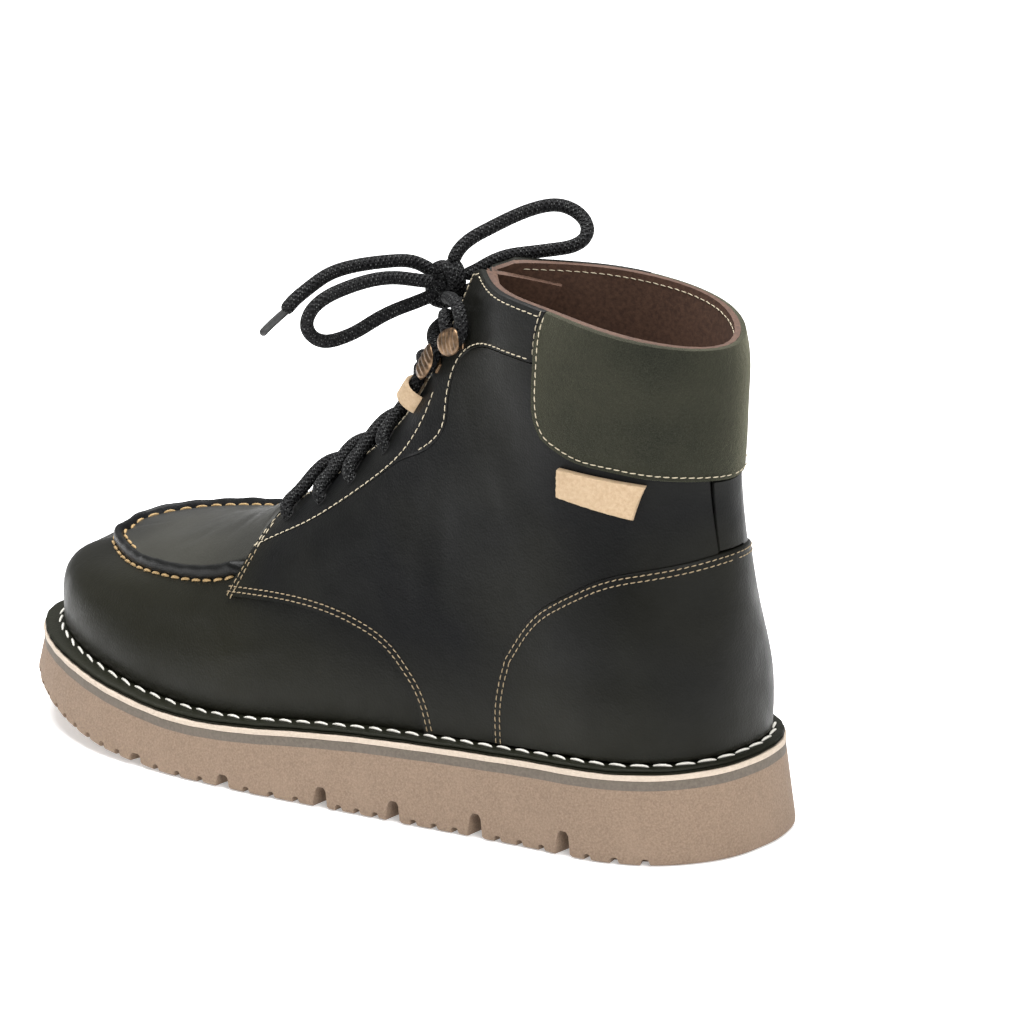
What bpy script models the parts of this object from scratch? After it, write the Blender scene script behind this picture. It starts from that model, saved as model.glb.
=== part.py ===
"""Left lace-up boot with a moc toe, an assembly of named pieces.

Metres. +X to the toe, +Y to the outer side, +Z up, z = 0 on the ground. The tables and routes count x
from the back of the sole; the last step moves all of it so that the origin lies under the heel.
"""
import math

import bmesh
import bpy
import numpy as np
from mathutils import Matrix, Vector

# main sizes of the last and the sole
LENGTH = 0.300
BALL_WIDTH = 0.099
COLLAR_HEIGHT = 0.181
HEEL_REST = 0.035
HEEL_HEIGHT = 0.0299
TOE_SPRING = 0.016
SPRING_START = 0.67
SPRING_POWER = 2.08
TOE_SWING = 0.0039
HEEL_CAP = 0.156
HEEL_ROUND = 2.235
TOE_CAP = 0.251
TOE_ROUND = 2.2
SOLE_FLARE = 0.0023
SOLE_BEVEL = 0.0012

# thicknesses and gaps
CREAM_THICK = 0.0020
GREY_THICK = 0.0030
WELT_THICK = 0.0019
WELT_GAP = 0.00025
WELT_INSET = 0.0006
WELT_GROOVE = 0.0006
WELT_INNER = 0.0094
LAYER_GAP = 0.00015
PIECE_GAP = 0.00035
SEAM_GAP = 0.0002
THIN = 0.0008
FOOT_INSET = 0.0070
UPPER_WALL = 0.0022
QUARTER_OUT = 0.0016
COUNTER_OUT = 0.0025
CUFF_OUT = 0.0033
CUFF_TOP_OUT = 0.0020
BACKSTAY_OUT = 0.0021
APRON_OUT = 0.0015
LIP_OUT = 0.0029
INSOLE_INSET = 0.0100
INSOLE_THICK = 0.0045
TONGUE_OUT = 0.0032
TONGUE_THICK = 0.0023

# side notches of the outsole
NOTCH_WIDTH = 0.0034
NOTCH_DEPTH = 0.015
NOTCH_HIGH = 0.0092

# laces and metal
LACE = 0.0045
LACE_LIFT = 0.0051
HOOK_LONG = 0.0100
HOOK_WIDE = 0.0100
HOOK_HIGH = 0.0068
HOOK_SHEET = 0.0010
LOOP_LONG = 0.0110
LOOP_WIDE = 0.0090
LOOP_HIGH = 0.0056
LOOP_SHEET = 0.0014
TAG_THICK = 0.0023
AGLET = 0.0032
KNOT_RADIUS = 0.0050

# half widths of the sole at the midsole's top: share of length, share of ball width
SOLE_OUTER = [(0, 0.4091), (0.15, 0.4091), (0.40, 0.4535), (0.64, 0.4949), (0.85, 0.4495), (1, 0.3737)]
SOLE_INNER = [(0, 0.4364), (0.15, 0.4364), (0.42, 0.3333), (0.70, 0.5051), (0.85, 0.4646), (1, 0.3636)]
# height of the midsole's top: share of length, share of heel height
TOP_LINE = [(0, 1), (0.25, 0.933), (0.5, 0.806), (0.7, 0.671), (0.85, 0.851), (1, 1.023)]
# notches: share of length, share of the notch height
NOTCHES = [(0.747, 0.42), (0.613, 0.55), (0.477, 0.85), (0.379, 0.86), (0.270, 0.98), (0.153, 1)]

# the last's sections from the toe's tip round to the heel's back, x as share of length, y of ball width,
# z of collar height: girth share; belly out, rise; wall x, y, z; seam x, y, z; crown x, y, z; top x, y, z
OUTER_SECTIONS = [
    (0, 0, 0.0552, 0.9633, -0.0424, 0.2928, 0.9067, -0.0505, 0.3276, 0.8733, -0.0556, 0.3459, 0.84, -0.0606, 0.3602),
    (0.06, 0, 0.0552, 0.9333, 0.1111, 0.2884, 0.8733, 0.0606, 0.3238, 0.8533, 0, 0.3436, 0.8333, -0.0606, 0.3619),
    (0.12, 0.003, 0.0552, 0.8833, 0.2121, 0.2873, 0.8333, 0.1414, 0.3249, 0.8283, 0.0404, 0.3492, 0.8167, -0.0545, 0.3674),
    (0.19, 0.0081, 0.0552, 0.8167, 0.3, 0.2873, 0.79, 0.2051, 0.3315, 0.7917, 0.0859, 0.3602, 0.7833, -0.0444, 0.3785),
    (0.27, 0.0101, 0.0552, 0.74, 0.3434, 0.2906, 0.7317, 0.2525, 0.3414, 0.7367, 0.1162, 0.3812, 0.7367, -0.0283, 0.4011),
    (0.36, 0.0081, 0.0608, 0.6567, 0.3717, 0.3011, 0.6633, 0.2828, 0.3646, 0.6717, 0.1465, 0.4144, 0.6767, -0.0051, 0.4365),
    (0.45, 0.003, 0.0718, 0.57, 0.3636, 0.3315, 0.5867, 0.2929, 0.4171, 0.6017, 0.1667, 0.4696, 0.6067, 0.0051, 0.5),
    (0.54, -0.003, 0.0884, 0.48, 0.3384, 0.3757, 0.5033, 0.2869, 0.4807, 0.52, 0.1768, 0.5497, 0.5267, 0.0101, 0.5845),
    (0.63, -0.0081, 0.0994, 0.39, 0.3182, 0.4199, 0.4233, 0.2788, 0.5497, 0.4433, 0.1818, 0.6409, 0.45, 0.0152, 0.6878),
    (0.72, -0.0081, 0.1105, 0.3033, 0.3051, 0.453, 0.35, 0.2768, 0.6133, 0.3783, 0.1919, 0.7569, 0.39, 0.0253, 0.8232),
    (0.8, -0.002, 0.116, 0.23, 0.3091, 0.4696, 0.2833, 0.2788, 0.6519, 0.3233, 0.2121, 0.8287, 0.3467, 0.0303, 1),
    (0.86, 0.002, 0.116, 0.16, 0.3101, 0.4696, 0.2133, 0.2859, 0.6519, 0.2467, 0.2778, 0.8287, 0.2667, 0.2374, 0.9845),
    (0.91, 0.0051, 0.116, 0.1, 0.2747, 0.4696, 0.15, 0.2758, 0.6519, 0.1733, 0.2949, 0.8232, 0.1833, 0.2929, 0.9713),
    (0.955, 0.0081, 0.116, 0.0487, 0.1737, 0.4641, 0.0737, 0.196, 0.6464, 0.0817, 0.2222, 0.8066, 0.0833, 0.2677, 0.942),
    (1, 0.0101, 0.116, 0.0233, 0, 0.4641, 0.03, 0, 0.6409, 0.024, 0, 0.7845, 0.0217, 0, 0.9144),
]
INNER_SECTIONS = [
    (0, 0, 0.0552, 0.9633, -0.0424, 0.2928, 0.9067, -0.0505, 0.3276, 0.8733, -0.0556, 0.3459, 0.84, -0.0606, 0.3602),
    (0.06, 0.003, 0.0552, 0.9467, -0.1818, 0.305, 0.9117, -0.1616, 0.3337, 0.8767, -0.096, 0.3492, 0.8333, -0.0606, 0.3619),
    (0.12, 0.0081, 0.0552, 0.905, -0.303, 0.3083, 0.8817, -0.2778, 0.3442, 0.8567, -0.1566, 0.3591, 0.8167, -0.0545, 0.3674),
    (0.19, 0.0121, 0.0552, 0.8333, -0.3818, 0.3138, 0.8267, -0.3364, 0.358, 0.8067, -0.1899, 0.3746, 0.7833, -0.0444, 0.3785),
    (0.27, 0.0101, 0.0552, 0.7483, -0.404, 0.3232, 0.7533, -0.3434, 0.3746, 0.7433, -0.1899, 0.3967, 0.7367, -0.0283, 0.4011),
    (0.36, 0.0081, 0.0608, 0.6567, -0.3838, 0.337, 0.6733, -0.3182, 0.3978, 0.6733, -0.1667, 0.4298, 0.6767, -0.0051, 0.4365),
    (0.45, 0.003, 0.0718, 0.5667, -0.3364, 0.3564, 0.59, -0.2828, 0.4392, 0.6017, -0.1566, 0.4862, 0.6067, 0.0051, 0.5),
    (0.54, 0, 0.0884, 0.4767, -0.2929, 0.3923, 0.5033, -0.2576, 0.4917, 0.52, -0.1566, 0.558, 0.5267, 0.0101, 0.5845),
    (0.63, -0.0051, 0.0994, 0.39, -0.2747, 0.4309, 0.4233, -0.2505, 0.558, 0.4433, -0.1566, 0.6464, 0.45, 0.0152, 0.6878),
    (0.72, -0.0061, 0.1105, 0.3033, -0.2808, 0.4586, 0.35, -0.2545, 0.6188, 0.3783, -0.1566, 0.7624, 0.39, 0.0253, 0.8232),
    (0.8, -0.002, 0.116, 0.23, -0.2949, 0.4696, 0.2833, -0.2646, 0.6547, 0.3233, -0.1667, 0.8315, 0.3467, 0.0303, 1),
    (0.86, 0.002, 0.116, 0.16, -0.303, 0.4696, 0.2133, -0.2747, 0.6519, 0.2467, -0.2424, 0.8287, 0.27, -0.1717, 0.9845),
    (0.91, 0.0051, 0.116, 0.1, -0.2727, 0.4696, 0.15, -0.2697, 0.6519, 0.1733, -0.2727, 0.8232, 0.19, -0.2626, 0.9713),
    (0.955, 0.0081, 0.116, 0.0487, -0.1717, 0.4641, 0.0737, -0.1939, 0.6464, 0.0817, -0.2101, 0.8066, 0.0867, -0.2475, 0.942),
    (1, 0.0101, 0.116, 0.0233, 0, 0.4641, 0.03, 0, 0.6409, 0.024, 0, 0.7845, 0.0217, 0, 0.9144),
]
GIRTH_KNOTS = np.array([0, 0.15, 0.37, 0.60, 0.82, 1.0])
COLLAR_CORNER = 0.80

# pattern lines on the last: girth share, height share
FRONT_SEAM = [(0.634, 0.004), (0.620, 0.108), (0.606, 0.164), (0.588, 0.220), (0.562, 0.268), (0.522, 0.324),
              (0.480, 0.372), (0.434, 0.412), (0.382, 0.448)]
FRONT_RISE = [(0.382, 0.448), (0.400, 0.572), (0.414, 0.684)]
FACING_TIP = [(0.414, 0.684), (0.421, 0.74), (0.428, 0.80)]
THROAT_EDGE = [(0.428, 0.80), (0.440, 0.850), (0.470, 0.885), (0.520, 0.900), (0.600, 0.900), (0.680, 0.905),
               (0.740, 0.920), (0.780, 0.945), (0.820, 1.0)]
FACING_LINE = [(0.414, 0.684), (0.450, 0.690), (0.500, 0.690), (0.560, 0.708), (0.622, 0.722), (0.665, 0.716),
               (0.700, 0.694), (0.740, 0.696), (0.760, 0.720), (0.768, 0.756), (0.776, 0.790), (0.788, 0.820),
               (0.804, 0.840), (0.830, 0.866), (0.856, 0.877), (0.893, 0.878)]
CUFF_FRONT = [(0.908, 1.0), (0.903, 0.965), (0.896, 0.884), (0.890, 0.812), (0.887, 0.752), (0.890, 0.716)]
CUFF_EDGE = [(0.890, 0.716), (0.902, 0.688), (0.912, 0.672), (0.932, 0.660), (0.950, 0.652), (0.966, 0.650),
             (0.984, 0.650), (1, 0.648)]
COUNTER_FRONT = [(0.720, 0.004), (0.718, 0.088), (0.726, 0.160), (0.740, 0.212)]
COUNTER_EDGE = [(0.740, 0.212), (0.758, 0.244), (0.794, 0.296), (0.836, 0.344), (0.886, 0.396), (0.934, 0.436),
                (0.970, 0.460), (0.988, 0.468), (1, 0.470)]
BACK_SEAM = 0.987
LIP_LOW = 0.565
LIP_MID = 0.600
LIP_HIGH = 0.635
LIP_END = 0.397
PLUG_END = 0.42
EYELETS = [(0.466, 0.788), (0.522, 0.780), (0.570, 0.796), (0.628, 0.820), (0.672, 0.978), (0.722, 0.948),
           (0.768, 0.950)]
HOOKS = [(0.740, 0.865), (0.796, 0.858)]
LEATHER_LOOP = (0.686, 0.884)
TAG = [(0.898, 0.652), (0.952, 0.636), (0.940, 0.552), (0.888, 0.584)]

# routes of the bow, metres
KNOT = (0.11824, 0.0045, 0.1715)
OUTER_LOOP = [(0.1196, 0.0096, 0.1723), (0.1213, 0.0140, 0.1735), (0.1250, 0.0202, 0.1752),
              (0.1289, 0.0306, 0.1760), (0.1321, 0.0393, 0.1748), (0.1348, 0.0463, 0.1726),
              (0.1370, 0.0506, 0.1687), (0.1380, 0.0512, 0.1640), (0.1372, 0.0490, 0.1602),
              (0.1357, 0.0450, 0.1582), (0.1338, 0.0399, 0.1583), (0.1316, 0.0340, 0.1597),
              (0.1290, 0.0276, 0.1624), (0.1258, 0.0205, 0.1648), (0.1226, 0.0128, 0.1664),
              (0.1201, 0.0080, 0.1679)]
OUTER_END = [(0.1221, 0.0064, 0.1747), (0.1256, 0.0105, 0.1780), (0.1295, 0.0196, 0.1800),
             (0.1350, 0.0300, 0.1800), (0.1400, 0.0380, 0.1780), (0.1436, 0.0443, 0.1740),
             (0.1462, 0.0484, 0.1705), (0.1478, 0.0510, 0.1673)]
OUTER_TAG = [(0.1482, 0.0517, 0.1667), (0.1500, 0.0545, 0.1642), (0.1518, 0.0581, 0.1610)]
INNER_LOOP = [(0.1176, 0.0022, 0.1766), (0.1171, 0.0004, 0.1800), (0.1153, -0.0023, 0.1833),
              (0.1107, -0.0084, 0.1872), (0.1060, -0.0158, 0.1904), (0.1012, -0.0216, 0.1926),
              (0.0957, -0.0253, 0.1935), (0.0903, -0.0267, 0.1924), (0.0860, -0.0267, 0.1901),
              (0.0832, -0.0252, 0.1876), (0.0821, -0.0223, 0.1850), (0.0838, -0.0191, 0.1831),
              (0.0883, -0.0155, 0.1820), (0.0953, -0.0107, 0.1810), (0.1020, -0.0068, 0.1797),
              (0.1071, -0.0038, 0.1773), (0.1108, -0.0013, 0.1748), (0.1140, 0.0012, 0.1731)]
INNER_END = [(0.1215, 0.0013, 0.1686), (0.1240, -0.0040, 0.1655), (0.1258, -0.0130, 0.1610),
             (0.1266, -0.0230, 0.1550), (0.1270, -0.0330, 0.1450), (0.1270, -0.0400, 0.1310),
             (0.1265, -0.0440, 0.1170)]

COLOURS = {
    "outsole": (0.42, 0.31, 0.22), "midsole": (0.72, 0.64, 0.55), "stripe": (0.30, 0.26, 0.22),
    "leather": (0.022, 0.024, 0.017), "suede": (0.030, 0.034, 0.024), "lining": (0.20, 0.105, 0.07),
    "lace": (0.012, 0.012, 0.013), "brass": (0.36, 0.24, 0.13), "tan": (0.58, 0.44, 0.29),
}


def spline(xk, yk, x, slope0=None, slope1=None):
    """Cubic spline through knots; the ends are natural unless a slope is given."""
    xk = np.asarray(xk, float)
    yk = np.asarray(yk, float)
    n = len(xk)
    h = np.diff(xk)
    a = np.zeros((n, n))
    r = np.zeros(n)
    for i in range(1, n - 1):
        a[i, i - 1] = h[i - 1]
        a[i, i] = 2 * (h[i - 1] + h[i])
        a[i, i + 1] = h[i]
        r[i] = 6 * ((yk[i + 1] - yk[i]) / h[i] - (yk[i] - yk[i - 1]) / h[i - 1])
    a[0, 0] = 1
    a[-1, -1] = 1
    if slope0 is not None:
        a[0, 0] = 2 * h[0]
        a[0, 1] = h[0]
        r[0] = 6 * ((yk[1] - yk[0]) / h[0] - slope0)
    if slope1 is not None:
        a[-1, -1] = 2 * h[-1]
        a[-1, -2] = h[-1]
        r[-1] = 6 * (slope1 - (yk[-1] - yk[-2]) / h[-1])
    m = np.linalg.solve(a, r)
    x = np.asarray(x, float)
    i = np.clip(np.searchsorted(xk, x) - 1, 0, n - 2)
    p = (xk[i + 1] - x) / h[i]
    q = 1 - p
    bend = ((p ** 3 - p) * m[i] + (q ** 3 - q) * m[i + 1]) * h[i] ** 2 / 6
    return p * yk[i] + q * yk[i + 1] + bend


def monotone(table, x):
    """Monotone cubic through the rows (x, y) of a table."""
    xk = np.array([row[0] for row in table], float)
    yk = np.array([row[1] for row in table], float)
    h = np.diff(xk)
    d = np.diff(yk) / h
    m = np.zeros(len(xk))
    m[0] = d[0]
    m[-1] = d[-1]
    for i in range(1, len(xk) - 1):
        if d[i - 1] * d[i] > 0:
            w1 = 2 * h[i] + h[i - 1]
            w2 = h[i] + 2 * h[i - 1]
            m[i] = (w1 + w2) / (w1 / d[i - 1] + w2 / d[i])
    x = np.asarray(x, float)
    i = np.clip(np.searchsorted(xk, x) - 1, 0, len(xk) - 2)
    t = (x - xk[i]) / h[i]
    a = (1 + 2 * t) * (1 - t) ** 2 * yk[i] + t * (1 - t) ** 2 * h[i] * m[i]
    b = t * t * (3 - 2 * t) * yk[i + 1] + t * t * (t - 1) * h[i] * m[i + 1]
    return a + b


def cap(t, length, power):
    """Rounded end of the outline, 0 at the tip and 1 from the given share on."""
    u = np.clip((length - t) / length, 0, 1)
    return (1 - u ** power) ** (1 / power)


def edge_line(side, inset):
    """Half outline of the sole from toe to heel, moved inward: x, y, normal x, normal y, run."""
    s = np.linspace(0, math.pi, 400)
    t = (1 + np.cos(s)) / 2
    wide = monotone(SOLE_OUTER if side > 0 else SOLE_INNER, t) * BALL_WIDTH
    ends = cap(t, HEEL_CAP, HEEL_ROUND) * cap(1 - t, TOE_CAP, TOE_ROUND)
    x = t * LENGTH
    y = side * wide * ends - TOE_SWING * t ** 3
    dx = np.gradient(x)
    dy = np.gradient(y)
    run = np.hypot(dx, dy) + 1e-15
    nx = side * dy / run
    ny = -side * dx / run
    nx[0] = 1
    ny[0] = 0
    nx[-1] = -1
    ny[-1] = 0
    x = x - nx * inset
    y = y - ny * inset
    length = np.concatenate([[0], np.cumsum(np.hypot(np.diff(x), np.diff(y)))])
    return x, y, nx, ny, length


def sole_top(x):
    """Height of the midsole's top."""
    rows = np.array(TOP_LINE)
    return spline(rows[:, 0], rows[:, 1], np.asarray(x) / LENGTH) * HEEL_HEIGHT


def sole_bottom(x):
    """Height of the tread, flat to the ball and sprung at the toe."""
    t = np.clip((np.asarray(x) / LENGTH - SPRING_START) / (1 - SPRING_START), 0, 1.03)
    return TOE_SPRING * t ** SPRING_POWER


FEATHER = {side: edge_line(side, FOOT_INSET) for side in (1, -1)}
SECTIONS = {1: np.array(OUTER_SECTIONS), -1: np.array(INNER_SECTIONS)}
SHARES = np.array([LENGTH, BALL_WIDTH, COLLAR_HEIGHT])


def feather(side, u):
    """Foot line of the upper and its outward direction at a girth share."""
    x, y, nx, ny, run = FEATHER[side]
    q = u * run[-1]
    px = np.interp(q, run, x)
    py = np.interp(q, run, y)
    ox = np.interp(q, run, nx)
    oy = np.interp(q, run, ny)
    size = np.hypot(ox, oy)
    z = sole_top(px) + WELT_GAP + WELT_THICK + SEAM_GAP
    return np.stack([px, py, z], -1), np.stack([ox / size, oy / size, 0 * px], -1)


def rail(side, k, u):
    """One lengthwise rail of the last: 1 wall, 2 seam, 3 crown, 4 top."""
    table = SECTIONS[side]
    knots = table[:, 0]
    out = []
    for axis in range(3):
        column = table[:, 3 * k + axis] * SHARES[axis]
        end = None if axis == 1 else 0
        if k < 4:
            out.append(spline(knots, column, u, end, end))
            continue
        n = int(np.argmin(abs(knots - COLLAR_CORNER)))
        ridge = spline(knots[:n + 1], column[:n + 1], u, end, None)
        collar = spline(knots[n:], column[n:], u, None, end)
        out.append(np.where(u <= COLLAR_CORNER, ridge, collar))
    return np.stack(out, -1)


def section(side, u):
    """The six girth points of the sections at u."""
    foot, out = feather(side, u)
    table = SECTIONS[side]
    belly = foot + out * (spline(table[:, 0], table[:, 1], u, 0, 0) * BALL_WIDTH)[:, None]
    belly[:, 2] += spline(table[:, 0], table[:, 2], u, 0, 0) * COLLAR_HEIGHT
    return np.stack([foot, belly] + [rail(side, k, u) for k in (1, 2, 3, 4)], 1)


def half_last(side, u, v):
    """Points of one half of the last's surface at girth shares u and height shares v."""
    knots = section(side, u)
    other = section(-side, u)
    h = np.diff(GIRTH_KNOTS)
    n = 6
    a = np.zeros((n, n))
    r = np.zeros(knots.shape)
    for i in range(1, n - 1):
        a[i, i - 1] = h[i - 1]
        a[i, i] = 2 * (h[i - 1] + h[i])
        a[i, i + 1] = h[i]
        r[:, i] = 6 * ((knots[:, i + 1] - knots[:, i]) / h[i] - (knots[:, i] - knots[:, i - 1]) / h[i - 1])
    a[0, 0] = 1
    free = a.copy()
    free[-1, -1] = 1
    held = a.copy()
    held[-1, -1] = 2 * h[-1]
    held[-1, -2] = h[-1]
    slope = (other[:, 4] - knots[:, 4]) / (2 * h[-1])
    r_held = r.copy()
    r_held[:, -1] = 6 * (slope - (knots[:, -1] - knots[:, -2]) / h[-1])
    w = np.clip((0.84 - u) / 0.1, 0, 1)
    w = (w * w * (3 - 2 * w))[:, None, None]
    m_free = np.einsum("ij,njk->nik", np.linalg.inv(free), r)
    m_held = np.einsum("ij,njk->nik", np.linalg.inv(held), r_held)
    m = m_free * (1 - w) + m_held * w
    i = np.clip(np.searchsorted(GIRTH_KNOTS, v) - 1, 0, n - 2)
    row = np.arange(len(v))
    p = ((GIRTH_KNOTS[i + 1] - v) / h[i])[:, None]
    q = 1 - p
    bend = ((p ** 3 - p) * m[row, i] + (q ** 3 - q) * m[row, i + 1]) * (h[i] ** 2)[:, None] / 6
    return p * knots[row, i] + q * knots[row, i + 1] + bend


def last(side, u, v):
    """Surface points for arrays of side, u and v; past an end the other half follows on."""
    side = np.asarray(side, float).ravel()
    u = np.asarray(u, float).ravel()
    v = np.asarray(v, float).ravel()
    flip = (u < 0) | (u > 1) | ((v > 1) & (u < COLLAR_CORNER))
    side = np.where(flip, -side, side)
    u = np.where(u < 0, -u, np.where(u > 1, 2 - u, u))
    v = np.clip(np.where((v > 1) & (u < COLLAR_CORNER), 2 - v, v), 0, 1)
    return np.where((side > 0)[:, None], half_last(1, u, v), half_last(-1, u, v))


def frames(side, u, v):
    """Surface points, unit normals and the two unit girth directions."""
    side = np.asarray(side, float).ravel()
    u = np.asarray(u, float).ravel()
    v = np.asarray(v, float).ravel()
    e = 0.003
    du = last(side, u + e, v) - last(side, u - e, v)
    dv = last(side, u, v + e) - last(side, u, v - e)
    n = np.cross(du, dv) * side[:, None]
    tip = (abs(u) < e) & (v > 1 - e)
    if tip.any():
        a = frames([1], [4 * e], [1 - 4 * e])[1][0]
        b = frames([-1], [4 * e], [1 - 4 * e])[1][0]
        n[tip] = a + b
        du[tip] = (-1, 0, 0)
        dv[tip] = (-1, 0, 0)
    n = n / np.linalg.norm(n, axis=1)[:, None]
    du = du / np.linalg.norm(du, axis=1)[:, None]
    dv = dv / np.linalg.norm(dv, axis=1)[:, None]
    return last(side, u, v), n, du, dv


def measure(side, line):
    """Run along a pattern line on the last."""
    line = np.array(line, float)
    p = last(np.full(len(line), side), line[:, 0], line[:, 1])
    return np.concatenate([[0], np.cumsum(np.linalg.norm(np.diff(p, axis=0), axis=1))])


def curve(line, n, side=1):
    """A pattern line as n equal steps of a smooth curve through its rows."""
    line = np.array(line, float)
    run = measure(side, line)
    s = np.linspace(0, run[-1], n + 1)
    if len(line) == 2:
        return line[0] + (line[1] - line[0]) * (s / run[-1])[:, None]
    return np.stack([spline(run, line[:, 0], s), spline(run, line[:, 1], s)], -1)


def chain(*parts):
    """Pattern curves joined end to end."""
    return np.concatenate([parts[0]] + [p[1:] for p in parts[1:]])


def moved(line, distance, side=1):
    """A pattern line moved to its left on the last by a distance."""
    tangent = np.gradient(line, axis=0)
    e = 0.002
    s = np.full(len(line), side)
    ju = (last(s, line[:, 0] + e, line[:, 1]) - last(s, line[:, 0] - e, line[:, 1])) / (2 * e)
    v0 = np.clip(line[:, 1] - e, 0, 1)
    v1 = np.clip(line[:, 1] + e, 0, 1)
    jv = (last(s, line[:, 0], v1) - last(s, line[:, 0], v0)) / (v1 - v0)[:, None]
    a = (ju * ju).sum(1)
    b = (ju * jv).sum(1)
    c = (jv * jv).sum(1)
    det = a * c - b * b
    w0 = -tangent[:, 1]
    w1 = tangent[:, 0]
    g0 = (c * w0 - b * w1) / det
    g1 = (a * w1 - b * w0) / det
    size = np.sqrt(w0 * g0 + w1 * g1)
    out = line + distance * np.stack([g0, g1], -1) / size[:, None]
    out[:, 0] = np.clip(out[:, 0], 0, 1)
    out[:, 1] = np.clip(out[:, 1], 0.004, 1)
    return out


def fill(bottom, top, left, right):
    """Grid of pattern points between four pattern curves."""
    n = len(bottom)
    m = len(left)
    s = np.linspace(0, 1, n)[:, None, None]
    t = np.linspace(0, 1, m)[None, :, None]
    sides = (1 - s) * left[None] + s * right[None]
    ends = (1 - t) * bottom[:, None] + t * top[:, None]
    corners = ((1 - s) * (1 - t) * bottom[0] + s * (1 - t) * bottom[-1]
               + (1 - s) * t * top[0] + s * t * top[-1])
    return sides + ends - corners


def material(slot):
    """Plain material of a slot."""
    m = bpy.data.materials.get(slot)
    if m is None:
        m = bpy.data.materials.new(slot)
        m.use_nodes = True
        node = m.node_tree.nodes["Principled BSDF"]
        node.inputs["Base Color"].default_value = (*COLOURS[slot], 1)
        node.inputs["Roughness"].default_value = 0.3 if slot == "brass" else 0.7
        node.inputs["Metallic"].default_value = 1.0 if slot == "brass" else 0.0
    return m


def solid(name, points, faces, slot):
    """A closed mesh object with its normals outward."""
    mesh = bpy.data.meshes.new(name)
    mesh.from_pydata([tuple(float(c) for c in p) for p in points], [], [tuple(f) for f in faces])
    bm = bmesh.new()
    bm.from_mesh(mesh)
    loose = [v for v in bm.verts if not v.link_faces]
    bmesh.ops.delete(bm, geom=loose, context="VERTS")
    bmesh.ops.recalc_face_normals(bm, faces=bm.faces)
    bm.to_mesh(mesh)
    bm.free()
    mesh.validate()
    ob = bpy.data.objects.new(name, mesh)
    bpy.context.scene.collection.objects.link(ob)
    mesh.materials.append(material(slot))
    return ob


def sag(p, u, v, faces, halves):
    """How far each point's flat faces fall inside the true surface, at most."""
    depth = np.zeros(len(p))
    for mix in ((1 / 3, 1 / 3, 1 / 3), (0.5, 0.5, 0), (0, 0.5, 0.5), (0.5, 0, 0.5)):
        mix = np.array(mix)
        true, n, du, dv = frames(halves, u[faces] @ mix, v[faces] @ mix)
        chord = np.einsum("fkc,k->fc", p[faces], mix)
        drop = ((true - chord) * n).sum(1)
        for k in range(3):
            np.maximum.at(depth, faces[:, k], drop)
    return depth


def shell(name, grids, inner, outer, slot):
    """A wall on the last between two offsets, from grids of (side, u, v) cells welded where they meet.

    inner is an offset along the normal, outer an offset or a function of (u, v) arrays.
    """
    params = np.concatenate([g.reshape(-1, 3) for g, keep in grids])
    p, n, du, dv = frames(params[:, 0], params[:, 1], params[:, 2])
    index = {}
    ids = np.zeros(len(params), int)
    chosen = []
    for i, point in enumerate(p):
        key = tuple(int(round(c * 2e5)) for c in point)
        if key not in index:
            index[key] = len(chosen)
            chosen.append(i)
        ids[i] = index[key]
    p = p[chosen]
    n = n[chosen]
    u = params[chosen, 1]
    v = params[chosen, 2]
    count = len(p)
    faces = []
    halves = []
    start = 0
    for g, keep in grids:
        ns, nt = g.shape[:2]
        at = ids[start:start + ns * nt].reshape(ns, nt)
        start += ns * nt
        for i in range(ns - 1):
            for j in range(nt - 1):
                if keep is not None and not keep(i, j):
                    continue
                q = [at[i, j], at[i + 1, j], at[i + 1, j + 1], at[i, j + 1]]
                if g[i, j, 0] < 0:
                    q.reverse()
                ring = [q[k] for k in range(4) if q[k] != q[k - 1]]
                if len(ring) == 3:
                    faces.append(ring)
                elif len(ring) == 4:
                    d0 = np.linalg.norm(p[ring[0]] - p[ring[2]])
                    d1 = np.linalg.norm(p[ring[1]] - p[ring[3]])
                    k = 0 if d0 <= d1 else 1
                    faces.append([ring[k], ring[k + 1], ring[k + 2]])
                    faces.append([ring[k], ring[k + 2], ring[k - 1]])
                halves += [g[i, j, 0]] * (len(faces) - len(halves))
    high = outer(u, v) if callable(outer) else np.full(len(p), outer)
    low = np.full(len(p), inner)
    if inner > 0:
        low = low + 1.1 * sag(p, u, v, np.array(faces), np.array(halves))
        high = np.maximum(high, low + THIN)
    top = p + n * high[:, None]
    base = p + n * low[:, None]
    edges = set()
    for f in faces:
        for k in range(3):
            edges.add((f[k], f[(k + 1) % 3]))
    walls = [(a, b) for a, b in edges if (b, a) not in edges]
    every = [tuple(f) for f in faces]
    every += [tuple(c + count for c in reversed(f)) for f in faces]
    for a, b in sorted(walls):
        every.append((b, a, a + count))
        every.append((b, a + count, b + count))
    return solid(name, np.concatenate([top, base]), every, slot)


def sided(grid, side):
    """A pattern grid with its side."""
    return np.concatenate([np.full(grid.shape[:2] + (1,), float(side)), grid], -1)


def both(grid):
    """The same pattern grid on both halves."""
    return [(sided(grid, 1), None), (sided(grid, -1), None)]


def outline_rows(inset, n):
    """Stations from heel to toe with the two edges of an inset outline."""
    outer = edge_line(1, inset)
    inner = edge_line(-1, inset)
    x0 = outer[0][-1]
    x1 = outer[0][0]
    x = x0 + (x1 - x0) * (1 - np.cos(np.linspace(0, math.pi, n))) / 2
    yo = np.interp(x, outer[0][::-1], outer[1][::-1])
    yi = np.interp(x, inner[0][::-1], inner[1][::-1])
    yo[0] = yi[0] = 0
    yo[-1] = yi[-1] = (outer[1][0] + inner[1][0]) / 2
    return x, yo, yi


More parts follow.
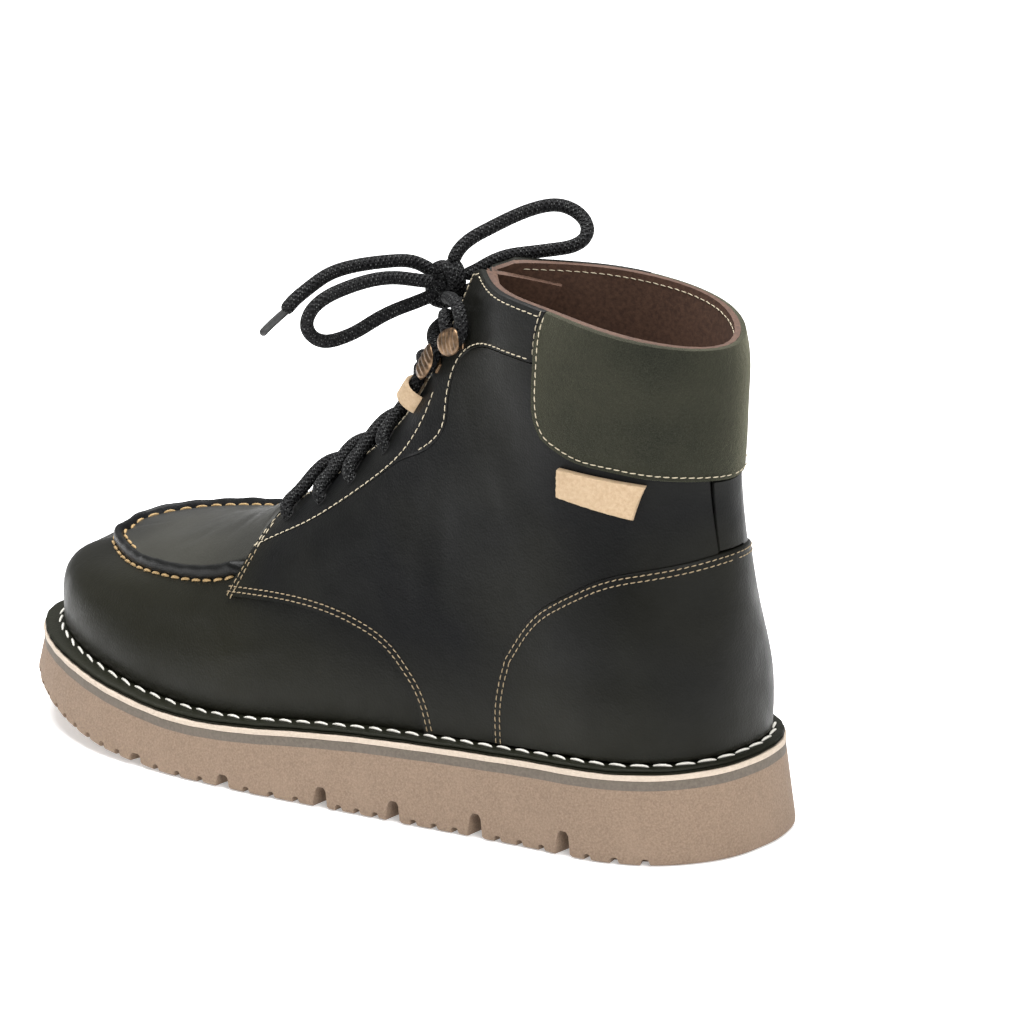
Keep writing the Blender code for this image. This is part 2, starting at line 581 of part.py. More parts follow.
def ring_points(inset, height, n):
    """Closed ring of points round an inset outline at a height line."""
    x, yo, yi = outline_rows(inset, n)
    z = height(x)
    outer = [(x[i], yo[i], z[i]) for i in range(n)]
    inner = [(x[i], yi[i], z[i]) for i in range(n - 2, 0, -1)]
    return outer + inner


def strip_caps(start, n):
    """Faces that close a ring of points across from one edge to the other."""
    size = 2 * n - 2
    faces = [(start, start + 1, start + size - 1)]
    for i in range(1, n - 2):
        faces.append((start + i, start + i + 1, start + size - i - 1, start + size - i))
    faces.append((start + n - 2, start + n - 1, start + n))
    return faces


def layer(name, levels, slot, n=30):
    """A sole layer from rings given as (inset, height line), top to bottom."""
    points = []
    for inset, height in levels:
        points += ring_points(inset, height, n)
    size = 2 * n - 2
    faces = strip_caps(0, n)
    faces += [tuple(reversed(f)) for f in strip_caps(size * (len(levels) - 1), n)]
    for k in range(len(levels) - 1):
        for i in range(size):
            j = (i + 1) % size
            faces.append((k * size + i, (k + 1) * size + i, (k + 1) * size + j, k * size + j))
    return solid(name, points, faces, slot)


def band(name, levels, slot, n=34):
    """A closed band round the sole from rings given as (inset, height line) round its section."""
    points = []
    for inset, height in levels:
        points += ring_points(inset, height, n)
    size = 2 * n - 2
    count = len(levels)
    faces = []
    for k in range(count):
        for i in range(size):
            j = (i + 1) % size
            m = (k + 1) % count
            faces.append((k * size + i, m * size + i, m * size + j, k * size + j))
    return solid(name, points, faces, slot)


def cut(ob, cutter):
    """Cut one solid out of another and drop the cutter."""
    mod = ob.modifiers.new("cut", "BOOLEAN")
    mod.operation = "DIFFERENCE"
    mod.solver = "EXACT"
    mod.object = cutter
    bake(ob)
    bpy.data.objects.remove(cutter)


def join(ob, other):
    """Join another solid to one and drop the other."""
    mod = ob.modifiers.new("join", "BOOLEAN")
    mod.operation = "UNION"
    mod.solver = "EXACT"
    mod.object = other
    bake(ob)
    bpy.data.objects.remove(other)


def bake(ob):
    """Keep the result of an object's modifiers as its mesh."""
    graph = bpy.context.evaluated_depsgraph_get()
    mesh = bpy.data.meshes.new_from_object(ob.evaluated_get(graph))
    ob.modifiers.clear()
    ob.data = mesh
    if not mesh.materials:
        mesh.materials.append(material("lace"))


def notch_cutters():
    """Arched notches in both side edges of the tread."""
    points = []
    faces = []
    arch = [(-0.62, -1.0), (-0.5, 0.0), (-0.5, 0.72), (-0.25, 0.95), (0.25, 0.95), (0.5, 0.72), (0.5, 0.0), (0.62, -1.0)]
    outer = edge_line(1, -SOLE_FLARE)
    inner = edge_line(-1, -SOLE_FLARE)
    for share, high in NOTCHES:
        x = share * LENGTH
        floor = float(sole_bottom(x))
        yo = float(np.interp(x, outer[0][::-1], outer[1][::-1]))
        yi = float(np.interp(x, inner[0][::-1], inner[1][::-1]))
        for y0, y1 in ((yo - NOTCH_DEPTH, yo + 0.006), (yi - 0.006, yi + NOTCH_DEPTH)):
            start = len(points)
            for y in (y0, y1):
                for ax, az in arch:
                    rise = az * NOTCH_HIGH * high if az > 0 else az * 0.004
                    points.append((x + ax * NOTCH_WIDTH, y, floor + rise))
            k = len(arch)
            faces.append(tuple(range(start, start + k)))
            faces.append(tuple(reversed(range(start + k, start + 2 * k))))
            for i in range(k):
                j = (i + 1) % k
                faces.append((start + i, start + k + i, start + k + j, start + j))
    return solid("notch_cutter", points, faces, "outsole")


def prism(name, profile, origin, across, up, along, width, slot):
    """A profile in the plane of across and up, drawn out along the third direction."""
    points = []
    for end in (-0.5, 0.5):
        for a, b in profile:
            points.append(origin + across * a + up * b + along * (end * width))
    k = len(profile)
    faces = [tuple(range(k)), tuple(reversed(range(k, 2 * k)))]
    for i in range(k):
        j = (i + 1) % k
        faces.append((i, k + i, k + j, j))
    return solid(name, points, faces, slot)


def curled(long, high, sheet):
    """Section of a sheet that lies flat, turns up and curls back over itself."""
    r = high / 2
    outer = [(-long / 2, 0.0), (long / 2 - r, 0.0)]
    inner = [(-long / 2, sheet), (long / 2 - r, sheet)]
    for k in range(1, 6):
        a = -math.pi / 2 + math.pi * k / 5
        outer.append((long / 2 - r + r * math.cos(a), r + r * math.sin(a)))
        inner.append((long / 2 - r + (r - sheet) * math.cos(a), r + (r - sheet) * math.sin(a)))
    outer.append((-long * 0.22, high))
    inner.append((-long * 0.22, high - sheet))
    return outer + inner[::-1]


def fitting(name, side, u, v, long, wide, high, sheet, slot):
    """A hook or loop set on the facing, open away from the throat."""
    p, n, du, dv = frames([side], [u], [v])
    up = n[0]
    along = du[0] - up * float(du[0] @ up)
    along = along / np.linalg.norm(along)
    across = np.cross(along, up)
    if across @ dv[0] < 0:
        across = -across
    origin = p[0] + up * (QUARTER_OUT + PIECE_GAP + 0.0002)
    return prism(name, curled(long, high, sheet), origin, across, up, along, wide, slot)


def tube(name, route, radius, sides, slot):
    """A straight-jointed round bar along a route."""
    route = [Vector(p) for p in route]
    points = []
    faces = []
    side = Vector((0, 0, 1))
    for i, p in enumerate(route):
        before = route[max(i - 1, 0)]
        after = route[min(i + 1, len(route) - 1)]
        t = (after - before).normalized()
        a = (side - t * side.dot(t)).normalized()
        b = t.cross(a)
        for k in range(sides):
            w = 2 * math.pi * k / sides
            points.append(p + (a * math.cos(w) + b * math.sin(w)) * radius)
    for i in range(len(route) - 1):
        for k in range(sides):
            m = (k + 1) % sides
            faces.append((i * sides + k, i * sides + m, (i + 1) * sides + m, (i + 1) * sides + k))
    faces.append(tuple(reversed(range(sides))))
    faces.append(tuple(range((len(route) - 1) * sides, len(route) * sides)))
    return solid(name, points, faces, slot)


def cord(name, route, diameter, slot, steps):
    """A cord node: a bevelled curve of one open spline read off a smooth curve."""
    points = np.array(route)
    run = np.concatenate([[0], np.cumsum(np.linalg.norm(np.diff(points, axis=0), axis=1))])
    s = np.linspace(0, run[-1], steps + 1)
    smooth = np.stack([spline(run, points[:, k], s) for k in range(3)], -1)
    data = bpy.data.curves.new(name, "CURVE")
    data.dimensions = "3D"
    data.bevel_depth = diameter / 2
    data.bevel_resolution = 2
    data.use_fill_caps = True
    line = data.splines.new("POLY")
    line.points.add(steps)
    for i, p in enumerate(smooth):
        line.points[i].co = (*p, 1)
    data.materials.append(material(slot))
    ob = bpy.data.objects.new(name, data)
    bpy.context.scene.collection.objects.link(ob)
    return ob


def build_sole():
    """Outsole, two midsole layers, welt and insole."""
    cream_low = CREAM_THICK
    grey_top = cream_low + LAYER_GAP
    grey_low = grey_top + GREY_THICK
    tread_top = grey_low + LAYER_GAP
    outsole = layer("outsole", [
        (0.0, lambda x: sole_top(x) - tread_top),
        (-SOLE_FLARE, lambda x: sole_bottom(x) + SOLE_BEVEL),
        (-SOLE_FLARE + SOLE_BEVEL, sole_bottom)], "outsole")
    cut(outsole, notch_cutters())
    layer("midsole_grey", [(0.0, lambda x: sole_top(x) - grey_top), (0.0, lambda x: sole_top(x) - grey_low)], "stripe")
    layer("midsole_cream", [(0.0, sole_top), (0.0, lambda x: sole_top(x) - cream_low)], "midsole")
    low = WELT_GAP
    high = WELT_GAP + WELT_THICK
    band("welt", [
        (WELT_INNER, lambda x: sole_top(x) + high),
        (WELT_INSET, lambda x: sole_top(x) + high),
        (WELT_INSET + WELT_GROOVE, lambda x: sole_top(x) + (low + high) / 2),
        (WELT_INSET, lambda x: sole_top(x) + low),
        (WELT_INNER, lambda x: sole_top(x) + low)], "leather")
    layer("insole", [
        (INSOLE_INSET, lambda x: sole_top(x) + WELT_GAP + INSOLE_THICK),
        (INSOLE_INSET, lambda x: sole_top(x) + WELT_GAP)], "lining", 26)


def build_upper():
    """The hollow wall of the upper, open at the collar, the throat and underneath."""
    u = np.array([0, 0.02, 0.045, 0.07, 0.1, 0.135, 0.17, 0.21, 0.25, 0.295, 0.34, 0.38, PLUG_END, 0.46, 0.5,
                  0.54, 0.58, 0.62, 0.66, 0.70, 0.74, 0.78, 0.82, 0.85, 0.875, 0.90, 0.92, 0.94, 0.955, 0.97,
                  0.985, 1.0])
    rows = 9
    extra = 3
    plug = int(np.argmin(abs(u - PLUG_END)))
    edge = np.array(THROAT_EDGE)
    limit = np.where(u <= PLUG_END, 0.80, np.interp(u, edge[:, 0], edge[:, 1]))
    grid = np.zeros((len(u), rows + extra + 1, 2))
    for i, value in enumerate(u):
        grid[i, :, 0] = value
        grid[i, :rows + 1, 1] = limit[i] * np.linspace(0, 1, rows + 1)
        grid[i, rows:, 1] = np.linspace(limit[i], 1, extra + 1)

    def keep(i, j):
        return j < rows or i < plug

    halves = [(sided(grid, 1), keep), (sided(grid, -1), keep)]
    shell("upper", halves, -UPPER_WALL, 0.0, "leather")


def build_overlays():
    """Quarters, facings, counter, cuff, backstay, apron and the raised moc lip."""
    g = SEAM_GAP
    line_front = curve(FACING_LINE[:8], 9)
    line_back = curve(FACING_LINE[7:], 4)
    drop = curve(CUFF_FRONT[2:], 2)
    under = curve(CUFF_EDGE, 6)
    arc = curve(COUNTER_EDGE, 12)
    front = curve(COUNTER_FRONT, 3)
    for side, word in ((1, "outer"), (-1, "inner")):
        line = moved(chain(line_front, line_back), -g, side)
        post = np.linspace((0.740, 0.212), line[9], 7)
        low = np.concatenate([moved(arc, g, side)[:-1], [[BACK_SEAM - 0.001, 0.472]]])
        post[0] = low[0]
        foot = curve([(0.634, 0.004), (0.7195, 0.004)], 9)
        left = chain(curve(FRONT_SEAM, 7), curve(FRONT_RISE, 2))
        left[-1] = line[0]
        right = chain(moved(front, g, side), post)
        right[0] = foot[-1]
        right[3] = post[0]
        fore = fill(foot, line[:10], left, right)
        high = chain(line[9:], moved(drop, -g, side), moved(under, -g, side)[:-1])
        high = np.concatenate([high, [[BACK_SEAM - 0.001, 0.6455]]])
        back = fill(low, high, post, np.linspace(low[-1], high[-1], 7))
        halves = [(sided(fore, side), None), (sided(back, side), None)]
        shell("quarter_" + word, halves, PIECE_GAP, QUARTER_OUT, "leather")

        bottom = moved(chain(line_front, line_back), g, side)
        top = chain(curve(THROAT_EDGE, 10), curve([(0.820, 1.0), (0.865, 1.0), (0.907, 1.0)], 3))
        left = curve([tuple(bottom[0]), (0.421, 0.74), tuple(top[0])], 3)
        right = moved(curve(CUFF_FRONT[:3], 3)[::-1], g, side)
        bottom[-1] = right[0]
        top[-1] = right[-1]
        grid = fill(bottom, top, left, right)
        shell("facing_" + word, [(sided(grid, side), None)], PIECE_GAP, QUARTER_OUT, "leather")

    top = moved(arc, -g)
    left = moved(front, -g)
    bottom = curve([(0.7235, 0.004), (1, 0.004)], 12)
    left[0] = bottom[0]
    left[-1] = top[0]
    right = curve([(1, 0.004), tuple(top[-1])], 3)
    grid = fill(bottom, top, left, right)
    shell("counter", both(grid), PIECE_GAP, COUNTER_OUT, "leather")

    bottom = moved(under, g)
    rise = chain(curve(CUFF_FRONT[:3], 3), drop)
    left = moved(rise, g)[::-1]
    left[0] = bottom[0]
    top = curve([tuple(left[-1]), (0.95, 1.0), (1, 1.0)], 6)
    right = curve([tuple(bottom[-1]), (1, 1)], 5)
    grid = fill(bottom, top, left, right)
    knots = [0.6, 0.72, 0.85, 1.0]
    heights = [CUFF_OUT - 0.0004, CUFF_OUT, CUFF_OUT, CUFF_TOP_OUT]
    shell("cuff", both(grid), PIECE_GAP, lambda u, v: spline(knots, heights, v), "suede")

    bottom = curve([(BACK_SEAM + 0.0005, 0.4745), (1, 0.4745)], 1)
    top = curve([(BACK_SEAM + 0.0005, 0.6440), (1, 0.6440)], 1)
    left = np.linspace(bottom[0], top[0], 4)
    right = np.linspace(bottom[-1], top[-1], 4)
    shell("backstay", both(fill(bottom, top, left, right)), PIECE_GAP, BACKSTAY_OUT, "leather")

    u = np.array([0, 0.025, 0.05, 0.08, 0.11, 0.145, 0.18, 0.225, 0.27, 0.31, 0.355, LIP_END])
    grid = np.stack([np.stack([u, np.full(len(u), v)], -1) for v in (LIP_LOW, LIP_MID, LIP_HIGH)], 1)
    shell("moc_lip", both(grid), PIECE_GAP,
          lambda u, v: np.where(abs(v - LIP_MID) < 0.01, LIP_OUT, LIP_OUT * 0.55), "leather")

    ends = np.array([0.4015, 0.4125, 0.4165, 0.4175, 0.4175])
    grid = np.zeros((len(u), 5, 2))
    shares = np.linspace(LIP_HIGH + 0.007, 1.0, 5)
    for j in range(5):
        grid[:, j, 0] = u / u[-1] * ends[j]
        grid[:, j, 1] = shares[j]
    shell("apron", both(grid), PIECE_GAP, APRON_OUT, "leather")


def build_tongue():
    """Tongue under the throat, a little inside the upper's wall."""
    edge = curve([(0.39, 0.80), (0.50, 0.79), (0.60, 0.79), (0.70, 0.79), (0.78, 0.82), (0.82, 0.88), (0.845, 0.96)], 12)
    ridge = curve([(0.39, 1.0), (0.52, 1.0), (0.66, 1.0), (0.785, 1.0)], 12)
    front = np.linspace(edge[0], ridge[0], 4)
    back = np.linspace(edge[-1], ridge[-1], 4)
    grid = fill(edge, ridge, front, back)
    shell("tongue", both(grid), -TONGUE_OUT - TONGUE_THICK, -TONGUE_OUT, "leather")


def build_fittings():
    """Hooks, leather lace loops and the side tag."""
    for side, word in ((1, "outer"), (-1, "inner")):
        for k, (u, v) in enumerate(HOOKS):
            name = "hook_" + word + "_" + str(k + 1)
            fitting(name, side, u, v, HOOK_LONG, HOOK_WIDE, HOOK_HIGH, HOOK_SHEET, "brass")
        u, v = LEATHER_LOOP
        fitting("lace_loop_" + word, side, u, v, LOOP_LONG, LOOP_WIDE, LOOP_HIGH, LOOP_SHEET, "tan")
    a, b, c, d = [np.array(q) for q in TAG]
    grid = fill(np.linspace(d, c, 5), np.linspace(a, b, 5), np.linspace(d, a, 3), np.linspace(c, b, 3))
    low = QUARTER_OUT + PIECE_GAP
    shell("tag", [(sided(grid, 1), None)], low, low + TAG_THICK, "tan")


def crossing(side, start, end):
    """Route of one lace bar over the throat, from an eyelet on one side to one on the other."""
    u0, v0 = start
    u1, v1 = end
    shares = [0, 0.25, 0.5, 0.75, 1]
    lift = [LACE_LIFT, LACE_LIFT, LACE_LIFT * 0.8, LACE_LIFT, LACE_LIFT]
    v = [v0, (v0 + 2) / 3 + 0.02, 1.0, (v1 + 2) / 3 + 0.02, v1]
    s = [side, side, side, -side, -side]
    u = [u0 + (u1 - u0) * k for k in shares]
    p, n, du, dv = frames(s, u, v)
    return [p[k] + n[k] * lift[k] for k in range(5)]


def build_laces():
    """Crossings over the throat, the knot, two loops and two ends of the bow with their aglets."""
    bars = [crossing(1, EYELETS[0], EYELETS[0])]
    for k in range(len(EYELETS) - 1):
        bars.append(crossing(1, EYELETS[k], EYELETS[k + 1]))
        bars.append(crossing(-1, EYELETS[k], EYELETS[k + 1]))
    whole = tube("lace_crossings", bars[0], LACE / 2, 5, "lace")
    for k, bar in enumerate(bars[1:]):
        join(whole, tube("bar_" + str(k), bar, LACE / 2 * (1 - 0.004 * (k % 3)), 5, "lace"))
    ball = bpy.data.meshes.new("lace_knot")
    bm = bmesh.new()
    bmesh.ops.create_icosphere(bm, subdivisions=2, radius=KNOT_RADIUS)
    bm.to_mesh(ball)
    bm.free()
    for vertex in ball.vertices:
        vertex.co = vertex.co + Vector(KNOT)
    ball.materials.append(material("lace"))
    knot = bpy.data.objects.new("lace_knot", ball)
    bpy.context.scene.collection.objects.link(knot)
    cord("bow_outer_loop", OUTER_LOOP, LACE, "lace", 18)
    cord("bow_inner_loop", INNER_LOOP, LACE, "lace", 18)
    cord("lace_end_outer", OUTER_END, LACE, "lace", 10)
    cord("lace_end_inner", INNER_END, LACE, "lace", 9)
    cord("aglet_outer", OUTER_TAG, AGLET, "brass", 2)


def main():
    for ob in list(bpy.data.objects):
        bpy.data.objects.remove(ob)
    build_sole()
    build_upper()
    build_overlays()
    build_tongue()
    build_fittings()
    build_laces()
    for ob in bpy.data.objects:
        ob.data.transform(Matrix.Translation((-HEEL_REST, 0, 0)))


main()
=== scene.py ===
"""Looks of the left lace-up boot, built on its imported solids."""

import math

import bmesh
import bpy
import numpy as np
from mathutils import Matrix, Vector


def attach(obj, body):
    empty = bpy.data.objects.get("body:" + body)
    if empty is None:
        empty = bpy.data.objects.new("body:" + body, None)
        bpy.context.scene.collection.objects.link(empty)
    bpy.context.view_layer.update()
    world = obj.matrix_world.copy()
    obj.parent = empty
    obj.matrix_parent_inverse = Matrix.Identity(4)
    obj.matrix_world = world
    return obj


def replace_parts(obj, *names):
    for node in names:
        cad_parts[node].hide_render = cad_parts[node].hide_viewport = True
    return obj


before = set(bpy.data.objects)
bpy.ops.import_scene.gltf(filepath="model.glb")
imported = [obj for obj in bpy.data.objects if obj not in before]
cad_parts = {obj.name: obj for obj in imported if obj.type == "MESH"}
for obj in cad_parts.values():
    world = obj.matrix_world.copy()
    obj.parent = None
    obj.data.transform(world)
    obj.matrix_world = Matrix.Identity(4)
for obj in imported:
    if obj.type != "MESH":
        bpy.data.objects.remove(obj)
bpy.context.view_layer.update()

# main sizes of the last and the sole
LENGTH = 0.300
BALL_WIDTH = 0.099
COLLAR_HEIGHT = 0.181
HEEL_REST = 0.035
HEEL_HEIGHT = 0.0299
TOE_SPRING = 0.016
SPRING_START = 0.67
SPRING_POWER = 2.08
TOE_SWING = 0.0039
HEEL_CAP = 0.156
HEEL_ROUND = 2.235
TOE_CAP = 0.251
TOE_ROUND = 2.2
SOLE_FLARE = 0.0023
SOLE_BEVEL = 0.0012

# thicknesses and gaps
CREAM_THICK = 0.0020
GREY_THICK = 0.0030
WELT_THICK = 0.0019
WELT_GAP = 0.00025
WELT_INSET = 0.0006
WELT_INNER = 0.0094
SEAM_GAP = 0.0002
FOOT_INSET = 0.0070
UPPER_WALL = 0.0022
QUARTER_OUT = 0.0016
COUNTER_OUT = 0.0025
CUFF_OUT = 0.0033
CUFF_TOP_OUT = 0.0020
BACKSTAY_OUT = 0.0021
APRON_OUT = 0.0015
LIP_OUT = 0.0029
INSOLE_INSET = 0.0100
INSOLE_THICK = 0.0045
TONGUE_OUT = 0.0032
TONGUE_THICK = 0.0023

# side notches of the outsole
NOTCH_WIDTH = 0.0034
NOTCH_DEPTH = 0.015
NOTCH_HIGH = 0.0092

# laces and metal
LACE = 0.0045
TAG_THICK = 0.0023
AGLET = 0.0032

# half widths of the sole at the midsole's top: share of length, share of ball width
SOLE_OUTER = [(0, 0.4091), (0.15, 0.4091), (0.40, 0.4535), (0.64, 0.4949), (0.85, 0.4495), (1, 0.3737)]
SOLE_INNER = [(0, 0.4364), (0.15, 0.4364), (0.42, 0.3333), (0.70, 0.5051), (0.85, 0.4646), (1, 0.3636)]
# height of the midsole's top: share of length, share of heel height
TOP_LINE = [(0, 1), (0.25, 0.933), (0.5, 0.806), (0.7, 0.671), (0.85, 0.851), (1, 1.023)]
# notches: share of length, share of the notch height
NOTCHES = [(0.747, 0.42), (0.613, 0.55), (0.477, 0.85), (0.379, 0.86), (0.270, 0.98), (0.153, 1)]

# the last's sections from the toe's tip round to the heel's back, in mm as drawn at the sizes in DRAWN:
# girth share; belly out, rise; wall x, y, z; seam x, y, z; crown x, y, z; top x, y, z
DRAWN = np.array([1, 99, 181] + [300, 99, 181] * 4)
OUTER_SECTIONS = [
    (0, 0, 10, 289, -4.2, 53, 272, -5, 59.3, 262, -5.5, 62.6, 252, -6, 65.2),
    (0.06, 0, 10, 280, 11, 52.2, 262, 6, 58.6, 256, 0, 62.2, 250, -6, 65.5),
    (0.12, 0.3, 10, 265, 21, 52, 250, 14, 58.8, 248.5, 4, 63.2, 245, -5.4, 66.5),
    (0.19, 0.8, 10, 245, 29.7, 52, 237, 20.3, 60, 237.5, 8.5, 65.2, 235, -4.4, 68.5),
    (0.27, 1, 10, 222, 34, 52.6, 219.5, 25, 61.8, 221, 11.5, 69, 221, -2.8, 72.6),
    (0.36, 0.8, 11, 197, 36.8, 54.5, 199, 28, 66, 201.5, 14.5, 75, 203, -0.5, 79),
    (0.45, 0.3, 13, 171, 36, 60, 176, 29, 75.5, 180.5, 16.5, 85, 182, 0.5, 90.5),
    (0.54, -0.3, 16, 144, 33.5, 68, 151, 28.4, 87, 156, 17.5, 99.5, 158, 1, 105.8),
    (0.63, -0.8, 18, 117, 31.5, 76, 127, 27.6, 99.5, 133, 18, 116, 135, 1.5, 124.5),
    (0.72, -0.8, 20, 91, 30.2, 82, 105, 27.4, 111, 113.5, 19, 137, 117, 2.5, 149),
    (0.8, -0.2, 21, 69, 30.6, 85, 85, 27.6, 118, 97, 21, 150, 104, 3, 181),
    (0.86, 0.2, 21, 48, 30.7, 85, 64, 28.3, 118, 74, 27.5, 150, 80, 23.5, 178.2),
    (0.91, 0.5, 21, 30, 27.2, 85, 45, 27.3, 118, 52, 29.2, 149, 55, 29, 175.8),
    (0.955, 0.8, 21, 14.6, 17.2, 84, 22.1, 19.4, 117, 24.5, 22, 146, 25, 26.5, 170.5),
    (1, 1, 21, 7, 0, 84, 9, 0, 116, 7.2, 0, 142, 6.5, 0, 165.5),
]
INNER_SECTIONS = [
    (0, 0, 10, 289, -4.2, 53, 272, -5, 59.3, 262, -5.5, 62.6, 252, -6, 65.2),
    (0.06, 0.3, 10, 284, -18, 55.2, 273.5, -16, 60.4, 263, -9.5, 63.2, 250, -6, 65.5),
    (0.12, 0.8, 10, 271.5, -30, 55.8, 264.5, -27.5, 62.3, 257, -15.5, 65, 245, -5.4, 66.5),
    (0.19, 1.2, 10, 250, -37.8, 56.8, 248, -33.3, 64.8, 242, -18.8, 67.8, 235, -4.4, 68.5),
    (0.27, 1, 10, 224.5, -40, 58.5, 226, -34, 67.8, 223, -18.8, 71.8, 221, -2.8, 72.6),
    (0.36, 0.8, 11, 197, -38, 61, 202, -31.5, 72, 202, -16.5, 77.8, 203, -0.5, 79),
    (0.45, 0.3, 13, 170, -33.3, 64.5, 177, -28, 79.5, 180.5, -15.5, 88, 182, 0.5, 90.5),
    (0.54, 0, 16, 143, -29, 71, 151, -25.5, 89, 156, -15.5, 101, 158, 1, 105.8),
    (0.63, -0.5, 18, 117, -27.2, 78, 127, -24.8, 101, 133, -15.5, 117, 135, 1.5, 124.5),
    (0.72, -0.6, 20, 91, -27.8, 83, 105, -25.2, 112, 113.5, -15.5, 138, 117, 2.5, 149),
    (0.8, -0.2, 21, 69, -29.2, 85, 85, -26.2, 118.5, 97, -16.5, 150.5, 104, 3, 181),
    (0.86, 0.2, 21, 48, -30, 85, 64, -27.2, 118, 74, -24, 150, 81, -17, 178.2),
    (0.91, 0.5, 21, 30, -27, 85, 45, -26.7, 118, 52, -27, 149, 57, -26, 175.8),
    (0.955, 0.8, 21, 14.6, -17, 84, 22.1, -19.2, 117, 24.5, -20.8, 146, 26, -24.5, 170.5),
    (1, 1, 21, 7, 0, 84, 9, 0, 116, 7.2, 0, 142, 6.5, 0, 165.5),
]
GIRTH_KNOTS = np.array([0, 0.15, 0.37, 0.60, 0.82, 1.0])
COLLAR_CORNER = 0.80

# pattern lines on the last: girth share, height share
FRONT_SEAM = [(0.634, 0.004), (0.620, 0.108), (0.606, 0.164), (0.588, 0.220), (0.562, 0.268), (0.522, 0.324),
              (0.480, 0.372), (0.434, 0.412), (0.382, 0.448)]
FRONT_RISE = [(0.382, 0.448), (0.400, 0.572), (0.414, 0.684)]
FACING_TIP = [(0.414, 0.684), (0.421, 0.74), (0.428, 0.80)]
THROAT_EDGE = [(0.428, 0.80), (0.440, 0.850), (0.470, 0.885), (0.520, 0.900), (0.600, 0.900), (0.680, 0.905),
               (0.740, 0.920), (0.780, 0.945), (0.820, 1.0)]
FACING_LINE = [(0.414, 0.684), (0.450, 0.690), (0.500, 0.690), (0.560, 0.708), (0.622, 0.722), (0.665, 0.716),
               (0.700, 0.694), (0.740, 0.696), (0.760, 0.720), (0.768, 0.756), (0.776, 0.790), (0.788, 0.820),
               (0.804, 0.840), (0.830, 0.866), (0.856, 0.877), (0.893, 0.878)]
CUFF_FRONT = [(0.908, 1.0), (0.903, 0.965), (0.896, 0.884), (0.890, 0.812), (0.887, 0.752), (0.890, 0.716)]
CUFF_EDGE = [(0.890, 0.716), (0.902, 0.688), (0.912, 0.672), (0.932, 0.660), (0.950, 0.652), (0.966, 0.650),
             (0.984, 0.650), (1, 0.648)]
COUNTER_FRONT = [(0.720, 0.004), (0.718, 0.088), (0.726, 0.160), (0.740, 0.212)]
COUNTER_EDGE = [(0.740, 0.212), (0.758, 0.244), (0.794, 0.296), (0.836, 0.344), (0.886, 0.396),
                (0.934, 0.436), (0.970, 0.460), (0.988, 0.468), (1, 0.470)]
BACK_SEAM = 0.987
LIP_MID = 0.600
LIP_HIGH = 0.635
LIP_END = 0.397
PLUG_END = 0.42
EYELETS = [(0.466, 0.788), (0.522, 0.780), (0.570, 0.796), (0.628, 0.820)]
HOOKS = [(0.740, 0.865), (0.796, 0.858)]
LEATHER_LOOP = (0.686, 0.884)
TAG = [(0.898, 0.652), (0.952, 0.636), (0.940, 0.552), (0.888, 0.584)]

# routes of the bow, metres
KNOT = (0.11824, 0.0045, 0.1715)
OUTER_LOOP = [(0.1196, 0.0096, 0.1723), (0.1213, 0.0140, 0.1735), (0.1250, 0.0202, 0.1752),
              (0.1289, 0.0306, 0.1760), (0.1321, 0.0393, 0.1748), (0.1348, 0.0463, 0.1726),
              (0.1370, 0.0506, 0.1687), (0.1380, 0.0512, 0.1640), (0.1372, 0.0490, 0.1602),
              (0.1357, 0.0450, 0.1582), (0.1338, 0.0399, 0.1583), (0.1316, 0.0340, 0.1597),
              (0.1290, 0.0276, 0.1624), (0.1258, 0.0205, 0.1648), (0.1226, 0.0128, 0.1664),
              (0.1201, 0.0080, 0.1679)]
OUTER_END = [(0.1221, 0.0064, 0.1747), (0.1256, 0.0105, 0.1780), (0.1295, 0.0196, 0.1800),
             (0.1350, 0.0300, 0.1800), (0.1400, 0.0380, 0.1780), (0.1436, 0.0443, 0.1740),
             (0.1462, 0.0484, 0.1705), (0.1478, 0.0510, 0.1673)]
OUTER_TAG = [(0.1482, 0.0517, 0.1667), (0.1500, 0.0545, 0.1642), (0.1518, 0.0581, 0.1610)]
INNER_LOOP = [(0.1176, 0.0022, 0.1766), (0.1171, 0.0004, 0.1800), (0.1153, -0.0023, 0.1833),
              (0.1107, -0.0084, 0.1872), (0.1060, -0.0158, 0.1904), (0.1012, -0.0216, 0.1926),
              (0.0957, -0.0253, 0.1935), (0.0903, -0.0267, 0.1924), (0.0860, -0.0267, 0.1901),
              (0.0832, -0.0252, 0.1876), (0.0821, -0.0223, 0.1850), (0.0838, -0.0191, 0.1831),
              (0.0883, -0.0155, 0.1820), (0.0953, -0.0107, 0.1810), (0.1020, -0.0068, 0.1797),
              (0.1071, -0.0038, 0.1773), (0.1108, -0.0013, 0.1748), (0.1140, 0.0012, 0.1731)]
INNER_END = [(0.1215, 0.0013, 0.1686), (0.1240, -0.0040, 0.1655), (0.1258, -0.0130, 0.1610),
             (0.1266, -0.0230, 0.1550), (0.1270, -0.0330, 0.1450), (0.1270, -0.0400, 0.1310),
             (0.1265, -0.0440, 0.1170)]


